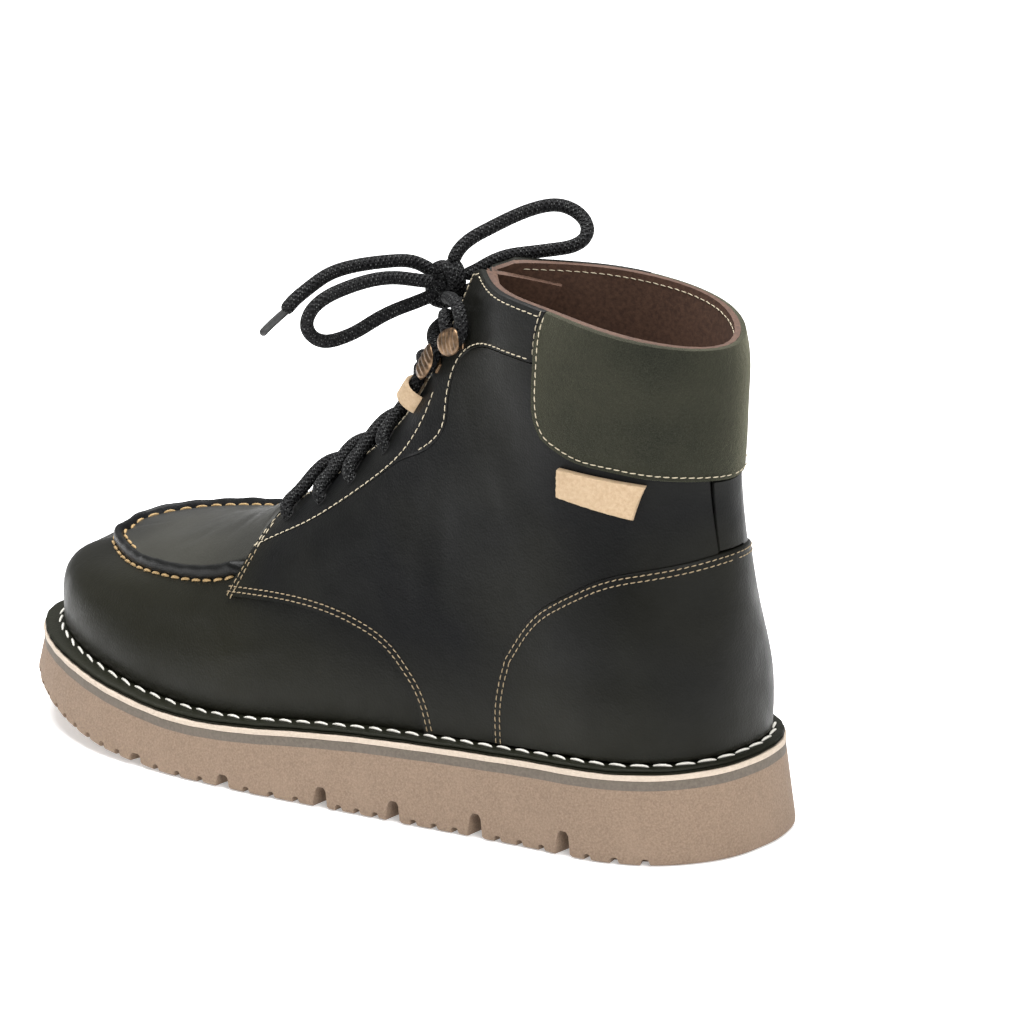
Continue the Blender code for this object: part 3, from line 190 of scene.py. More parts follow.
def bends(x, y, slope0=None, slope1=None):
    """Steps and bends of the cubic spline through knots; the ends are natural unless a slope is given."""
    h = np.diff(x)
    rise = np.diff(y, axis=0) / h.reshape((-1,) + (1,) * (y.ndim - 1))
    a = np.diag(np.concatenate([[1], 2 * (h[:-1] + h[1:]), [1]]))
    a += np.diag(np.concatenate([[0], h[1:]]), 1) + np.diag(np.concatenate([h[:-1], [0]]), -1)
    r = np.zeros(y.shape)
    r[1:-1] = 6 * (rise[1:] - rise[:-1])
    if slope0 is not None:
        a[0, :2] = 2 * h[0], h[0]
        r[0] = 6 * (rise[0] - slope0)
    if slope1 is not None:
        a[-1, -2:] = h[-1], 2 * h[-1]
        r[-1] = 6 * (slope1 - rise[-1])
    return h, np.linalg.solve(a, r.reshape(len(x), -1)).reshape(y.shape)


def spline(xk, yk, x, slope0=None, slope1=None):
    """Cubic spline through knots, read at x."""
    xk = np.asarray(xk, float)
    yk = np.asarray(yk, float)
    h, m = bends(xk, yk, slope0, slope1)
    x = np.asarray(x, float)
    i = np.clip(np.searchsorted(xk, x) - 1, 0, len(xk) - 2)
    p = (xk[i + 1] - x) / h[i]
    q = 1 - p
    bend = ((p ** 3 - p) * m[i] + (q ** 3 - q) * m[i + 1]) * h[i] ** 2 / 6
    return p * yk[i] + q * yk[i + 1] + bend


def monotone(table, x):
    """Monotone cubic through the rows (x, y) of a table."""
    xk = np.array([row[0] for row in table], float)
    yk = np.array([row[1] for row in table], float)
    h = np.diff(xk)
    d = np.diff(yk) / h
    m = np.zeros(len(xk))
    m[0] = d[0]
    m[-1] = d[-1]
    for i in range(1, len(xk) - 1):
        if d[i - 1] * d[i] > 0:
            w1 = 2 * h[i] + h[i - 1]
            w2 = h[i] + 2 * h[i - 1]
            m[i] = (w1 + w2) / (w1 / d[i - 1] + w2 / d[i])
    x = np.asarray(x, float)
    i = np.clip(np.searchsorted(xk, x) - 1, 0, len(xk) - 2)
    t = (x - xk[i]) / h[i]
    a = (1 + 2 * t) * (1 - t) ** 2 * yk[i] + t * (1 - t) ** 2 * h[i] * m[i]
    b = t * t * (3 - 2 * t) * yk[i + 1] + t * t * (t - 1) * h[i] * m[i + 1]
    return a + b


def cap(t, length, power):
    """Rounded end of the outline, 0 at the tip and 1 from the given share on."""
    u = np.clip((length - t) / length, 0, 1)
    return (1 - u ** power) ** (1 / power)


def edge_line(side, inset):
    """Half outline of the sole from toe to heel, moved inward: x, y, normal x, normal y, run."""
    s = np.linspace(0, math.pi, 400)
    t = (1 + np.cos(s)) / 2
    wide = monotone(SOLE_OUTER if side > 0 else SOLE_INNER, t) * BALL_WIDTH
    ends = cap(t, HEEL_CAP, HEEL_ROUND) * cap(1 - t, TOE_CAP, TOE_ROUND)
    x = t * LENGTH
    y = side * wide * ends - TOE_SWING * t ** 3
    dx = np.gradient(x)
    dy = np.gradient(y)
    run = np.hypot(dx, dy) + 1e-15
    nx = side * dy / run
    ny = -side * dx / run
    nx[0] = 1
    ny[0] = 0
    nx[-1] = -1
    ny[-1] = 0
    x = x - nx * inset
    y = y - ny * inset
    return x, y, nx, ny, np.concatenate([[0], np.cumsum(np.hypot(np.diff(x), np.diff(y)))])


def sole_top(x):
    """Height of the midsole's top."""
    rows = np.array(TOP_LINE)
    return spline(rows[:, 0], rows[:, 1], np.asarray(x) / LENGTH) * HEEL_HEIGHT


def sole_bottom(x):
    """Height of the tread, flat to the ball and sprung at the toe."""
    t = np.clip((np.asarray(x) / LENGTH - SPRING_START) / (1 - SPRING_START), 0, 1.03)
    return TOE_SPRING * t ** SPRING_POWER


FEATHER = {side: edge_line(side, FOOT_INSET) for side in (1, -1)}
SECTIONS = {1: np.round(OUTER_SECTIONS / DRAWN, 4), -1: np.round(INNER_SECTIONS / DRAWN, 4)}
SHARES = np.array([LENGTH, BALL_WIDTH, COLLAR_HEIGHT])


def feather(side, u):
    """Foot line of the upper and its outward direction at a girth share."""
    x, y, nx, ny, run = FEATHER[side]
    q = u * run[-1]
    px = np.interp(q, run, x)
    py = np.interp(q, run, y)
    ox = np.interp(q, run, nx)
    oy = np.interp(q, run, ny)
    size = np.hypot(ox, oy)
    z = sole_top(px) + WELT_GAP + WELT_THICK + SEAM_GAP
    return np.stack([px, py, z], -1), np.stack([ox / size, oy / size, 0 * px], -1)


def rail(side, k, u):
    """One lengthwise rail of the last: 1 wall, 2 seam, 3 crown, 4 top."""
    table = SECTIONS[side]
    knots = table[:, 0]
    out = []
    for axis in range(3):
        column = table[:, 3 * k + axis] * SHARES[axis]
        end = None if axis == 1 else 0
        if k < 4:
            out.append(spline(knots, column, u, end, end))
            continue
        n = int(np.argmin(abs(knots - COLLAR_CORNER)))
        ridge = spline(knots[:n + 1], column[:n + 1], u, end, None)
        collar = spline(knots[n:], column[n:], u, None, end)
        out.append(np.where(u <= COLLAR_CORNER, ridge, collar))
    return np.stack(out, -1)


def section(side, u):
    """The six girth points of the sections at u."""
    foot, out = feather(side, u)
    table = SECTIONS[side]
    belly = foot + out * (spline(table[:, 0], table[:, 1], u, 0, 0) * BALL_WIDTH)[:, None]
    belly[:, 2] += spline(table[:, 0], table[:, 2], u, 0, 0) * COLLAR_HEIGHT
    return np.stack([foot, belly] + [rail(side, k, u) for k in (1, 2, 3, 4)], 1)


def half_last(side, u, v):
    """Points of one half of the last's surface at girth shares u and height shares v."""
    knots = np.moveaxis(section(side, u), 1, 0)
    other = np.moveaxis(section(-side, u), 1, 0)
    h, m_free = bends(GIRTH_KNOTS, knots)
    slope = (other[4] - knots[4]) / (2 * h[-1])
    m_held = bends(GIRTH_KNOTS, knots, None, slope)[1]
    w = np.clip((0.84 - u) / 0.1, 0, 1)
    w = (w * w * (3 - 2 * w))[:, None]
    m = m_free * (1 - w) + m_held * w
    i = np.clip(np.searchsorted(GIRTH_KNOTS, v) - 1, 0, len(GIRTH_KNOTS) - 2)
    row = np.arange(len(v))
    p = ((GIRTH_KNOTS[i + 1] - v) / h[i])[:, None]
    q = 1 - p
    bend = ((p ** 3 - p) * m[i, row] + (q ** 3 - q) * m[i + 1, row]) * (h[i] ** 2)[:, None] / 6
    return p * knots[i, row] + q * knots[i + 1, row] + bend


def last(side, u, v):
    """Surface points for arrays of side, u and v; past an end the other half follows on."""
    side = np.asarray(side, float).ravel()
    u = np.asarray(u, float).ravel()
    v = np.asarray(v, float).ravel()
    flip = (u < 0) | (u > 1) | ((v > 1) & (u < COLLAR_CORNER))
    side = np.where(flip, -side, side)
    u = np.where(u < 0, -u, np.where(u > 1, 2 - u, u))
    v = np.clip(np.where((v > 1) & (u < COLLAR_CORNER), 2 - v, v), 0, 1)
    return np.where((side > 0)[:, None], half_last(1, u, v), half_last(-1, u, v))


def unit(vectors):
    """A vector, or each of many, at length 1."""
    return vectors / np.linalg.norm(vectors, axis=-1)[..., None]


def length_along(points):
    """Run along points."""
    return np.concatenate([[0], np.cumsum(np.linalg.norm(np.diff(points, axis=0), axis=1))])


def frames(side, u, v):
    """Surface points, unit normals and the two unit girth directions."""
    side = np.asarray(side, float).ravel()
    u = np.asarray(u, float).ravel()
    v = np.asarray(v, float).ravel()
    e = 0.003
    du = last(side, u + e, v) - last(side, u - e, v)
    dv = last(side, u, v + e) - last(side, u, v - e)
    n = np.cross(du, dv) * side[:, None]
    tip = (abs(u) < e) & (v > 1 - e)
    if tip.any():
        a = frames([1], [4 * e], [1 - 4 * e])[1][0]
        b = frames([-1], [4 * e], [1 - 4 * e])[1][0]
        n[tip] = a + b
        du[tip] = (-1, 0, 0)
        dv[tip] = (-1, 0, 0)
    return last(side, u, v), unit(n), unit(du), unit(dv)


def measure(side, line):
    """Run along a pattern line on the last."""
    line = np.array(line, float)
    p = last(np.full(len(line), side), line[:, 0], line[:, 1])
    return length_along(p)


def curve(line, n, side=1):
    """A pattern line as n equal steps of a smooth curve through its rows."""
    line = np.array(line, float)
    run = measure(side, line)
    s = np.linspace(0, run[-1], n + 1)
    if len(line) == 2:
        return line[0] + (line[1] - line[0]) * (s / run[-1])[:, None]
    return np.stack([spline(run, line[:, 0], s), spline(run, line[:, 1], s)], -1)


def chain(*parts):
    """Pattern curves joined end to end."""
    return np.concatenate([parts[0]] + [p[1:] for p in parts[1:]])


def moved(line, distance, side=1):
    """A pattern line moved to its left on the last by a distance."""
    tangent = np.gradient(line, axis=0)
    e = 0.002
    s = np.full(len(line), side)
    ju = (last(s, line[:, 0] + e, line[:, 1]) - last(s, line[:, 0] - e, line[:, 1])) / (2 * e)
    v0 = np.clip(line[:, 1] - e, 0, 1)
    v1 = np.clip(line[:, 1] + e, 0, 1)
    jv = (last(s, line[:, 0], v1) - last(s, line[:, 0], v0)) / (v1 - v0)[:, None]
    a = (ju * ju).sum(1)
    b = (ju * jv).sum(1)
    c = (jv * jv).sum(1)
    det = a * c - b * b
    w0 = -tangent[:, 1]
    w1 = tangent[:, 0]
    g0 = (c * w0 - b * w1) / det
    g1 = (a * w1 - b * w0) / det
    size = np.sqrt(w0 * g0 + w1 * g1)
    out = line + distance * np.stack([g0, g1], -1) / size[:, None]
    out[:, 0] = np.clip(out[:, 0], 0, 1)
    out[:, 1] = np.clip(out[:, 1], 0.004, 1)
    return out


# lines of the tongue's edges and of two stitch rows: girth share, height share
TONGUE_EDGE = [(0.39, 0.80), (0.50, 0.79), (0.60, 0.79), (0.70, 0.79), (0.78, 0.82), (0.82, 0.88),
               (0.845, 0.96)]
TONGUE_RIDGE = [(0.39, 1.0), (0.52, 1.0), (0.66, 1.0), (0.785, 1.0)]
FACING_ROW = [(0.414, 0.690), (0.450, 0.697), (0.500, 0.697), (0.560, 0.716), (0.622, 0.732), (0.662, 0.737),
              (0.686, 0.750), (0.716, 0.780), (0.736, 0.812)]
COLLAR_ROW = [(0.825, 1.0), (0.865, 1.0), (0.93, 1.0), (1, 1.0)]

# stitches of the upper: piece, thread, pitch m, length m, thickness m, lean in radians
STITCHES = [
    ("facing_stitches", "thread", 0.0027, 0.0021, 0.00040, 0.08),
    ("seam_stitches", "seam_thread", 0.0024, 0.0018, 0.00040, 0.08),
    ("moc_stitches", "moc_thread", 0.0056, 0.0042, 0.0011, 0.10),
]

# notch profile, as shares of its half width and height, and the small teeth at the toe along the length
ARCH = [(-0.95, -1.0), (-0.76, 0.0), (-0.60, 0.15), (-0.52, 0.5), (-0.45, 0.80), (-0.25, 0.97),
        (0.25, 0.97), (0.45, 0.80), (0.52, 0.5), (0.60, 0.15), (0.76, 0.0), (0.95, -1.0)]
TOE_TEETH = (0.233, 0.241, 0.249, 0.257, 0.264, 0.271, 0.278, 0.284, 0.290)

# cords of the bow: node, shown piece, route, start of the braid, far end, lay
BOW = [
    ("bow_outer_loop", "bow_outer_show", OUTER_LOOP, 0.0, "object", "loose"),
    ("bow_inner_loop", "bow_inner_show", INNER_LOOP, 0.3, "object", "loose"),
    ("lace_end_outer", "lace_end_outer_show", OUTER_END, 0.6, "fitting", "loose"),
    ("lace_end_inner", "lace_end_inner_show", INNER_END, 0.9, "bare", "hanging"),
]
# turns of the knot: middle from the knot's, half width, half height, tilt, lean
WRAPS = [
    ((0.0004, 0.0012, 0.0002), 0.0040, 0.0050, 0.15, 0.10),
    ((-0.0004, -0.0026, 0.0004), 0.0038, 0.0046, -0.25, -0.20),
    ((0.0022, 0.0002, -0.0042), 0.0034, 0.0032, 0.5, 0.9),
]

EYELET_RADIUS = 0.0026

# the shown hooks, mm: half sizes, squareness, height of the plate, ribs, and the bent neck across and outward
HOOK_ACROSS = 4.4
HOOK_ALONG = 6.2
HOOK_SQUARE = 0.8
HOOK_RISE = 5.5
RIB_HIGH = 0.22
HOOK_NECK = [(-2.6, 0.25), (1.4, 0.25), (2.5, 0.7), (3.1, 1.9), (3.3, 3.3), (3.0, 4.7), (2.2, 5.3)]

# oiled leathers: name, dark, light and olive patches, roughness, gloss
LEATHERS = [
    ("leather", (0.0016, 0.0018, 0.0022, 1),
     (0.0068, 0.0070, 0.0060, 1), (0.0120, 0.0115, 0.0052, 1), 0.44, 0.13),
    # the toe plug is the same leather made lighter: painted light falling on the toe's top
    ("leather_plug_painted_toplight", (0.0110, 0.0112, 0.0105, 1),
     (0.030, 0.030, 0.026, 1), (0.024, 0.023, 0.014, 1), 0.46, 0.34),
    ("leather_lip", (0.0024, 0.0026, 0.0032, 1),
     (0.0060, 0.0064, 0.0072, 1), (0.006, 0.006, 0.0045, 1), 0.42, 0.13),
    ("leather_welt", (0.0035, 0.0037, 0.0026, 1),
     (0.0105, 0.0108, 0.0066, 1), (0.0120, 0.0125, 0.0060, 1), 0.5, 0.13),
]
# plain finishes: name, colour, second colour, roughness, grain scale, bump m, bump strength, metal
PLAIN = [
    ("leather_edge", (0.008, 0.008, 0.006), (0.030, 0.026, 0.015), 0.8, 1200),
    ("lining", (0.046, 0.020, 0.011), (0.098, 0.048, 0.028), 0.75, 700, 0.0002),
    ("tan_sole", (0.180, 0.123, 0.083), (0.275, 0.198, 0.140), 0.85, 1500, 0.00035, 0.6),
    ("cream", (0.46, 0.38, 0.30), (0.56, 0.47, 0.385), 0.7, 900),
    ("grey", (0.098, 0.080, 0.062), (0.140, 0.116, 0.092), 0.8, 900),
    ("tan", (0.40, 0.280, 0.165), (0.50, 0.370, 0.240), 0.8, 900, 0.0004, 0.6),
    ("antique_brass", (0.060, 0.036, 0.020), (0.30, 0.19, 0.11), 0.36, 450, 0.0002, 0.5, 0.85),
    ("thread", (0.42, 0.36, 0.25), (0.58, 0.51, 0.38), 0.8, 2000),
    ("seam_thread", (0.21, 0.155, 0.090), (0.36, 0.28, 0.17), 0.8, 2000),
    ("moc_thread", (0.30, 0.19, 0.075), (0.45, 0.31, 0.15), 0.8, 1500),
    ("white_thread", (0.66, 0.64, 0.57), (0.82, 0.80, 0.74), 0.7, 1500),
    ("lace_tip", (0.012, 0.012, 0.012), (0.03, 0.03, 0.03), 0.35, 900),
    # near-black finish for discs that stand for the shade inside the eyelet holes (painted shade)
    ("painted_hole_shade", (0.002, 0.002, 0.002), (0.003, 0.003, 0.003), 0.95, 900),
]

# floor, and the lights: name, place, what it faces, size m, power W
FLOOR_HALF = 6
FLOOR_HEIGHT = -0.0002
LIGHTS = [
    ("top", (0.30, -0.1, 1.2), (0.14, 0, 0), 0.9, 30),
    ("key", (1.1, 1.0, 1.1), (0.12, 0, 0.05), 0.8, 4),
    ("back", (-0.9, 0.5, 0.9), (0.05, 0, 0.08), 0.6, 12),
]

# camera of the photograph
YAW = 39.80
TILT = 16.21
ROLL = -1.916
DISTANCE = 2.95
LENS = 317.1


def camera():
    """Camera at the photo's angle, aimed so that the boot falls on the photo's pixels."""
    yaw = math.radians(YAW)
    tilt = math.radians(TILT)
    roll = math.radians(ROLL)
    back = np.array([-math.sin(yaw) * math.cos(tilt), math.cos(yaw) * math.cos(tilt), math.sin(tilt)])
    right = unit(np.cross(-back, (0, 0, 1)))
    up = np.cross(right, -back)
    r = right * math.cos(roll) + up * math.sin(roll)
    u = -right * math.sin(roll) + up * math.cos(roll)
    aim = np.array([0.130 - HEEL_REST, 0, 0.070]) + r * 0.0241 + u * 0.0201
    data = bpy.data.cameras.new("camera")
    data.lens = LENS
    data.sensor_width = 36
    data.clip_end = 20
    ob = bpy.data.objects.new("camera", data)
    m = Matrix((r, u, back)).transposed().to_4x4()
    m.translation = Vector(aim + back * DISTANCE)
    ob.matrix_world = m
    bpy.context.scene.collection.objects.link(ob)
    bpy.context.scene.camera = ob


class Shader:
    """A procedural material with a few short ways to add nodes."""

    def __init__(self, name):
        self.material = bpy.data.materials.new(name)
        self.material.use_nodes = True
        self.tree = self.material.node_tree
        self.main = self.tree.nodes["Principled BSDF"]
        self.place = self.tree.nodes.new("ShaderNodeTexCoord").outputs["Object"]

    def put(self, socket, value):
        """Link a socket or set its value."""
        if isinstance(value, bpy.types.NodeSocket):
            self.tree.links.new(value, socket)
        else:
            socket.default_value = value

    def set(self, node=None, **values):
        """Set inputs of a node, or of the main shader."""
        for key, value in values.items():
            self.put((node or self.main).inputs[key.replace("_", " ")], value)

    def node(self, kind, **values):
        """A new node with its inputs set."""
        n = self.tree.nodes.new("ShaderNode" + kind)
        self.set(n, **values)
        return n

    def noise(self, scale, detail=2, rough=0.5, vector=None):
        """Noise value."""
        n = self.node("TexNoise", Vector=vector or self.place, Scale=scale, Detail=detail, Roughness=rough)
        return n.outputs["Fac"]

    def cells(self, scale):
        """Distance to the nearest cell's middle."""
        return self.node("TexVoronoi", Vector=self.place, Scale=scale).outputs["Distance"]

    def ramp(self, value, low, high, to_low=0.0, to_high=1.0):
        """Map a value from one range to another, clamped."""
        n = self.node("MapRange", Value=value, From_Min=low, From_Max=high, To_Min=to_low, To_Max=to_high)
        return n.outputs["Result"]

    def math(self, kind, a, b=0.0):
        """A maths node."""
        n = self.node("Math")
        n.operation = kind
        self.put(n.inputs[0], a)
        self.put(n.inputs[1], b)
        return n.outputs[0]

    def mix(self, value, a, b):
        """Blend of two colours."""
        n = self.node("Mix")
        n.data_type = "RGBA"
        for k, v in ((0, value), (6, a), (7, b)):
            self.put(n.inputs[k], v)
        return n.outputs[2]

    def part(self, axis, place=None):
        """One coordinate of a place."""
        return self.node("SeparateXYZ", Vector=place or self.place).outputs[axis]

    def bump(self, height, distance, strength=1.0, **under):
        """Bump normal, on top of another Normal where one is given."""
        n = self.node("Bump", Height=height, Distance=distance, Strength=strength, **under)
        return n.outputs["Normal"]


def leather(name, dark, light, olive, rough, gloss):
    """Oiled leather: a pulled-up patchy colour, a soft sheen, fine grain and a few scratches."""
    s = Shader(name)
    cloud = s.ramp(s.noise(17, 3, 0.55), 0.40, 0.62)
    tint = s.ramp(s.noise(11, 2, 0.5), 0.42, 0.68)
    low = s.ramp(s.part(2), 0.030, 0.062, 0.55, 0.0)
    base = s.mix(cloud, dark, light)
    base = s.mix(s.math("MULTIPLY", tint, 0.55), base, olive)
    base = s.mix(low, base, olive)
    fine = s.noise(1500, 4, 0.6)
    base = s.mix(s.ramp(fine, 0.35, 0.75, 0.0, 0.35), base, light)
    stretch = s.node("Mapping", Vector=s.place, Rotation=(0.4, 0.9, 0.5), Scale=(40, 900, 900))
    line = s.ramp(s.noise(1.0, 2, 0.5, stretch.outputs[0]), 0.74, 0.80)
    where = s.ramp(s.noise(60, 2), 0.55, 0.70)
    base = s.mix(s.math("MULTIPLY", s.math("MULTIPLY", line, where), 0.35), base, (0.045, 0.045, 0.036, 1))
    s.set(Base_Color=base, Roughness=s.ramp(s.noise(90, 4), 0.3, 0.7, rough - 0.06, rough + 0.08))
    s.set(Specular_IOR_Level=gloss)
    n = s.bump(s.noise(150, 3), 0.0006, 0.25)
    n = s.bump(s.cells(1300), 0.00016, 0.35, Normal=n)
    s.set(Normal=s.bump(fine, 0.0001, 0.45, Normal=n))
    return s.material


def suede(name):
    """Dark olive suede with a fine nap."""
    s = Shader(name)
    nap = s.noise(2600, 3, 0.7)
    patch = s.ramp(s.noise(45, 3), 0.35, 0.7)
    base = s.mix(s.ramp(nap, 0.38, 0.68), (0.0045, 0.0052, 0.0036, 1), (0.024, 0.0255, 0.0175, 1))
    base = s.mix(s.math("MULTIPLY", patch, 0.5), base, (0.026, 0.026, 0.017, 1))
    s.set(Base_Color=base, Roughness=0.95)
    s.set(Specular_IOR_Level=0.15)
    s.set(Sheen_Weight=0.35)
    s.set(Sheen_Roughness=0.5)
    s.set(Sheen_Tint=(0.62, 0.60, 0.42, 1))
    n = s.bump(s.noise(500, 3), 0.0005, 0.35)
    s.set(Normal=s.bump(nap, 0.0004, 0.7, Normal=n))
    return s.material


def plain(name, colour, second, rough, scale, bump=0.0001, strength=0.5, metal=0.0):
    """A simple finish with fine speckle and grain."""
    s = Shader(name)
    fine = s.noise(scale, 4, 0.65)
    wide = s.noise(scale / 22, 3)
    base = s.mix(s.ramp(fine, 0.35, 0.7), colour + (1,), second + (1,))
    base = s.mix(s.ramp(wide, 0.5, 0.8, 0.0, 0.35), base, second + (1,))
    s.set(Base_Color=base, Roughness=rough, Metallic=metal)
    s.set(Normal=s.bump(fine, bump, strength))
    return s.material


def braid(name):
    """Round braided lace with pale flecks, from the tube's own run and turn."""
    s = Shader(name)
    uv = s.node("UVMap")
    uv.uv_map = "run"
    run = s.math("MULTIPLY", s.part(0, uv.outputs[0]), 2 * math.pi * 560)
    turn = s.math("MULTIPLY", s.part(1, uv.outputs[0]), 2 * math.pi * 6)
    a = s.math("SINE", s.math("ADD", run, turn))
    b = s.math("SINE", s.math("SUBTRACT", run, turn))
    over = s.math("MAXIMUM", a, b)
    both_up = s.math("MULTIPLY", a, b)
    fleck = s.math("MULTIPLY", s.ramp(both_up, 0.35, 0.8), s.ramp(s.noise(900, 2), 0.46, 0.62))
    base = s.mix(s.ramp(over, -0.4, 1.0), (0.0016, 0.0016, 0.0018, 1), (0.0095, 0.0095, 0.0102, 1))
    base = s.mix(s.math("MULTIPLY", fleck, 0.8), base, (0.12, 0.124, 0.12, 1))
    s.set(Base_Color=base, Roughness=0.62)
    s.set(Specular_IOR_Level=0.14)
    s.set(Normal=s.bump(over, 0.00045, 0.9))
    return s.material


def net(rows, columns, round_rows=False, round_columns=False, start=0):
    """Quads of a grid of points, closed round either way where asked."""
    faces = []
    for i in range(rows if round_rows else rows - 1):
        a = start + i * columns
        b = start + (i + 1) % rows * columns
        for k in range(columns if round_columns else columns - 1):
            m = (k + 1) % columns
            faces.append((a + k, a + m, b + m, b + k))
    return faces


def mesh_object(name, points, faces, materials, kinds=None, uv=None, sharp=50):
    """A shown piece that rides on the boot."""
    points = np.asarray(points, float) - (HEEL_REST, 0, 0)
    mesh = bpy.data.meshes.new(name)
    mesh.from_pydata(points.tolist(), [], [tuple(int(c) for c in f) for f in faces])
    for m in materials:
        mesh.materials.append(m)
    if kinds is not None:
        mesh.polygons.foreach_set("material_index", np.asarray(kinds, np.int32))
    mesh.polygons.foreach_set("use_smooth", np.ones(len(mesh.polygons), bool))
    mesh.update()
    mesh.set_sharp_from_angle(angle=math.radians(sharp))
    if uv is not None:
        layer = mesh.uv_layers.new(name="run")
        index = np.zeros(len(mesh.loops), np.int32)
        mesh.loops.foreach_get("vertex_index", index)
        layer.data.foreach_set("uv", np.asarray(uv, np.float32)[index].ravel())
    ob = bpy.data.objects.new(name, mesh)
    bpy.context.scene.collection.objects.link(ob)
    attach(ob, "root")
    return ob


def outward(ob, merge=None):
    """Turn every face outward, after merging close points where asked."""
    tidy = bmesh.new()
    tidy.from_mesh(ob.data)
    if merge:
        bmesh.ops.remove_doubles(tidy, verts=tidy.verts, dist=merge)
    bmesh.ops.recalc_face_normals(tidy, faces=tidy.faces)
    tidy.to_mesh(ob.data)
    tidy.free()


# soft troughs and ridges of the leather: side (0 both), girth share, height share, lean in degrees,
# half length m, half width m, height m
CREASES = [
    (0, 0.700, 0.46, 62, 0.016, 0.0050, -0.0006),
    (0, 0.675, 0.56, 50, 0.014, 0.0045, -0.0005),
    (0, 0.655, 0.40, 70, 0.012, 0.0050, 0.0004),
    (1, 0.780, 0.52, 20, 0.015, 0.0060, -0.0005),
    (1, 0.600, 0.60, 35, 0.013, 0.0045, -0.0004),
    (0, 0.560, 0.52, 40, 0.012, 0.0045, 0.0004),
    (1, 0.510, 0.30, 25, 0.020, 0.0060, -0.0004),
    (0, 0.300, 0.30, 5, 0.024, 0.0080, -0.0005),
    (0, 0.180, 0.34, -8, 0.018, 0.0070, -0.0005),
    (1, 0.420, 0.24, 12, 0.016, 0.0050, 0.0004),
    (1, 0.860, 0.20, 10, 0.020, 0.0080, -0.0006),
    (1, 0.905, 0.30, 75, 0.012, 0.0060, 0.0004),
    (0, 0.340, 0.90, 80, 0.012, 0.0040, -0.0005),
    (0, 0.250, 0.84, 60, 0.012, 0.0050, -0.0005),
    (0, 0.820, 0.60, 80, 0.014, 0.0050, 0.0004),
]


def crease(side, u, v):
    """Height of the soft creases at points of the last."""
    out = np.zeros(len(u))
    for s, cu, cv, lean, long, wide, high in CREASES:
        a = (u - cu) * 0.300
        b = (v - cv) * 0.150
        c = math.cos(math.radians(lean))
        d = math.sin(math.radians(lean))
        run = (a * c + b * d) / long
        off = (-a * d + b * c) / wide
        mark = high * np.exp(-run ** 2 - off ** 2)
        out += mark if s == 0 else np.where(side == s, mark, 0)
    return out


def spaced(n, eps):
    """Shares from 0 to 1 with one extra close to each end."""
    return np.concatenate([[0, eps], np.linspace(0, 1, n + 1)[1:-1], [1 - eps, 1]])


def reread(line, shares):
    """A pattern curve read at shares of its rows."""
    t = np.linspace(0, 1, len(line))
    return np.stack([np.interp(shares, t, line[:, 0]), np.interp(shares, t, line[:, 1])], -1)


def patch(bottom, top, left, right, ns, nt, edge=0.0006):
    """Fine grid between four pattern curves with rows close to its edges."""
    s = spaced(ns, min(0.3 / ns, edge / (measure(1, bottom)[-1] + 1e-9)))
    t = spaced(nt, min(0.3 / nt, edge / (measure(1, left)[-1] + 1e-9)))
    b = reread(bottom, s)
    e = reread(top, s)
    c = reread(left, t)
    d = reread(right, t)
    ss = s[:, None, None]
    tt = t[None, :, None]
    corners = ((1 - ss) * (1 - tt) * b[0] + ss * (1 - tt) * b[-1] + (1 - ss) * tt * e[0] + ss * tt * e[-1])
    return (1 - ss) * c[None] + ss * d[None] + (1 - tt) * b[:, None] + tt * e[:, None] - corners


def skin(name, grids, inner, outer, materials, slot, turn=0.0005, keep=None, lining=False, folds=True):
    """A fine wall on the last between two offsets with its outer edges turned down."""
    params = np.concatenate([g.reshape(-1, 3) for g in grids])
    p, n, du, dv = frames(params[:, 0], params[:, 1], params[:, 2])
    key = np.round(p * 2e5).astype(np.int64)
    unused, first, ids = np.unique(key, axis=0, return_index=True, return_inverse=True)
    ids = ids.ravel()
    q = params[first]
    p = p[first]
    n = n[first]
    faces = []
    start = 0
    for g in grids:
        ns, nt = g.shape[:2]
        at = ids[start:start + ns * nt].reshape(ns, nt)
        start += ns * nt
        ok = np.ones((ns - 1, nt - 1), bool) if keep is None else keep(g)
        quad = np.stack([at[:-1, :-1], at[1:, :-1], at[1:, 1:], at[:-1, 1:]], -1)[ok]
        if g[0, 0, 0] < 0:
            quad = quad[:, ::-1]
        faces.append(quad)
    rings = [[c for k, c in enumerate(f) if c != f[k - 1]] for f in np.concatenate(faces).tolist()]
    rings = [f for f in rings if len(f) > 2]
    edges = {(f[k - 1], c) for f in rings for k, c in enumerate(f)}
    rim = sorted((a, b) for a, b in edges if (b, a) not in edges)
    high = outer(q[:, 1], q[:, 2]) if callable(outer) else np.full(len(p), outer)
    low = np.full(len(p), inner)
    if folds:
        bend = crease(q[:, 0], q[:, 1], q[:, 2])
        high = high + bend
        low = low + np.minimum(bend, 0)
    on_rim = np.zeros(len(p), bool)
    on_rim[[c for e in rim for c in e]] = True
    high = np.where(on_rim, high - turn, high)
    count = len(p)
    used = np.zeros(2 * count, bool)
    every = [tuple(f) for f in rings]
    kinds = [0] * len(every)
    every += [tuple(c + count for c in reversed(f)) for f in rings]
    kinds += [1 if lining else 0] * len(rings)
    for a, b in rim:
        every.append((b, a, a + count, b + count))
        kinds.append(1 if lining else 0)
    points = np.concatenate([p + n * high[:, None], p + n * low[:, None]])
    used[[c for f in every for c in f]] = True
    remap = np.cumsum(used) - 1
    every = [tuple(int(remap[c]) for c in f) for f in every]
    return mesh_object(name, points[used], every, materials, kinds)


def panel(node, *values, **more):
    """A skin that stands for a node."""
    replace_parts(skin(node + "_show", *values, **more), node)


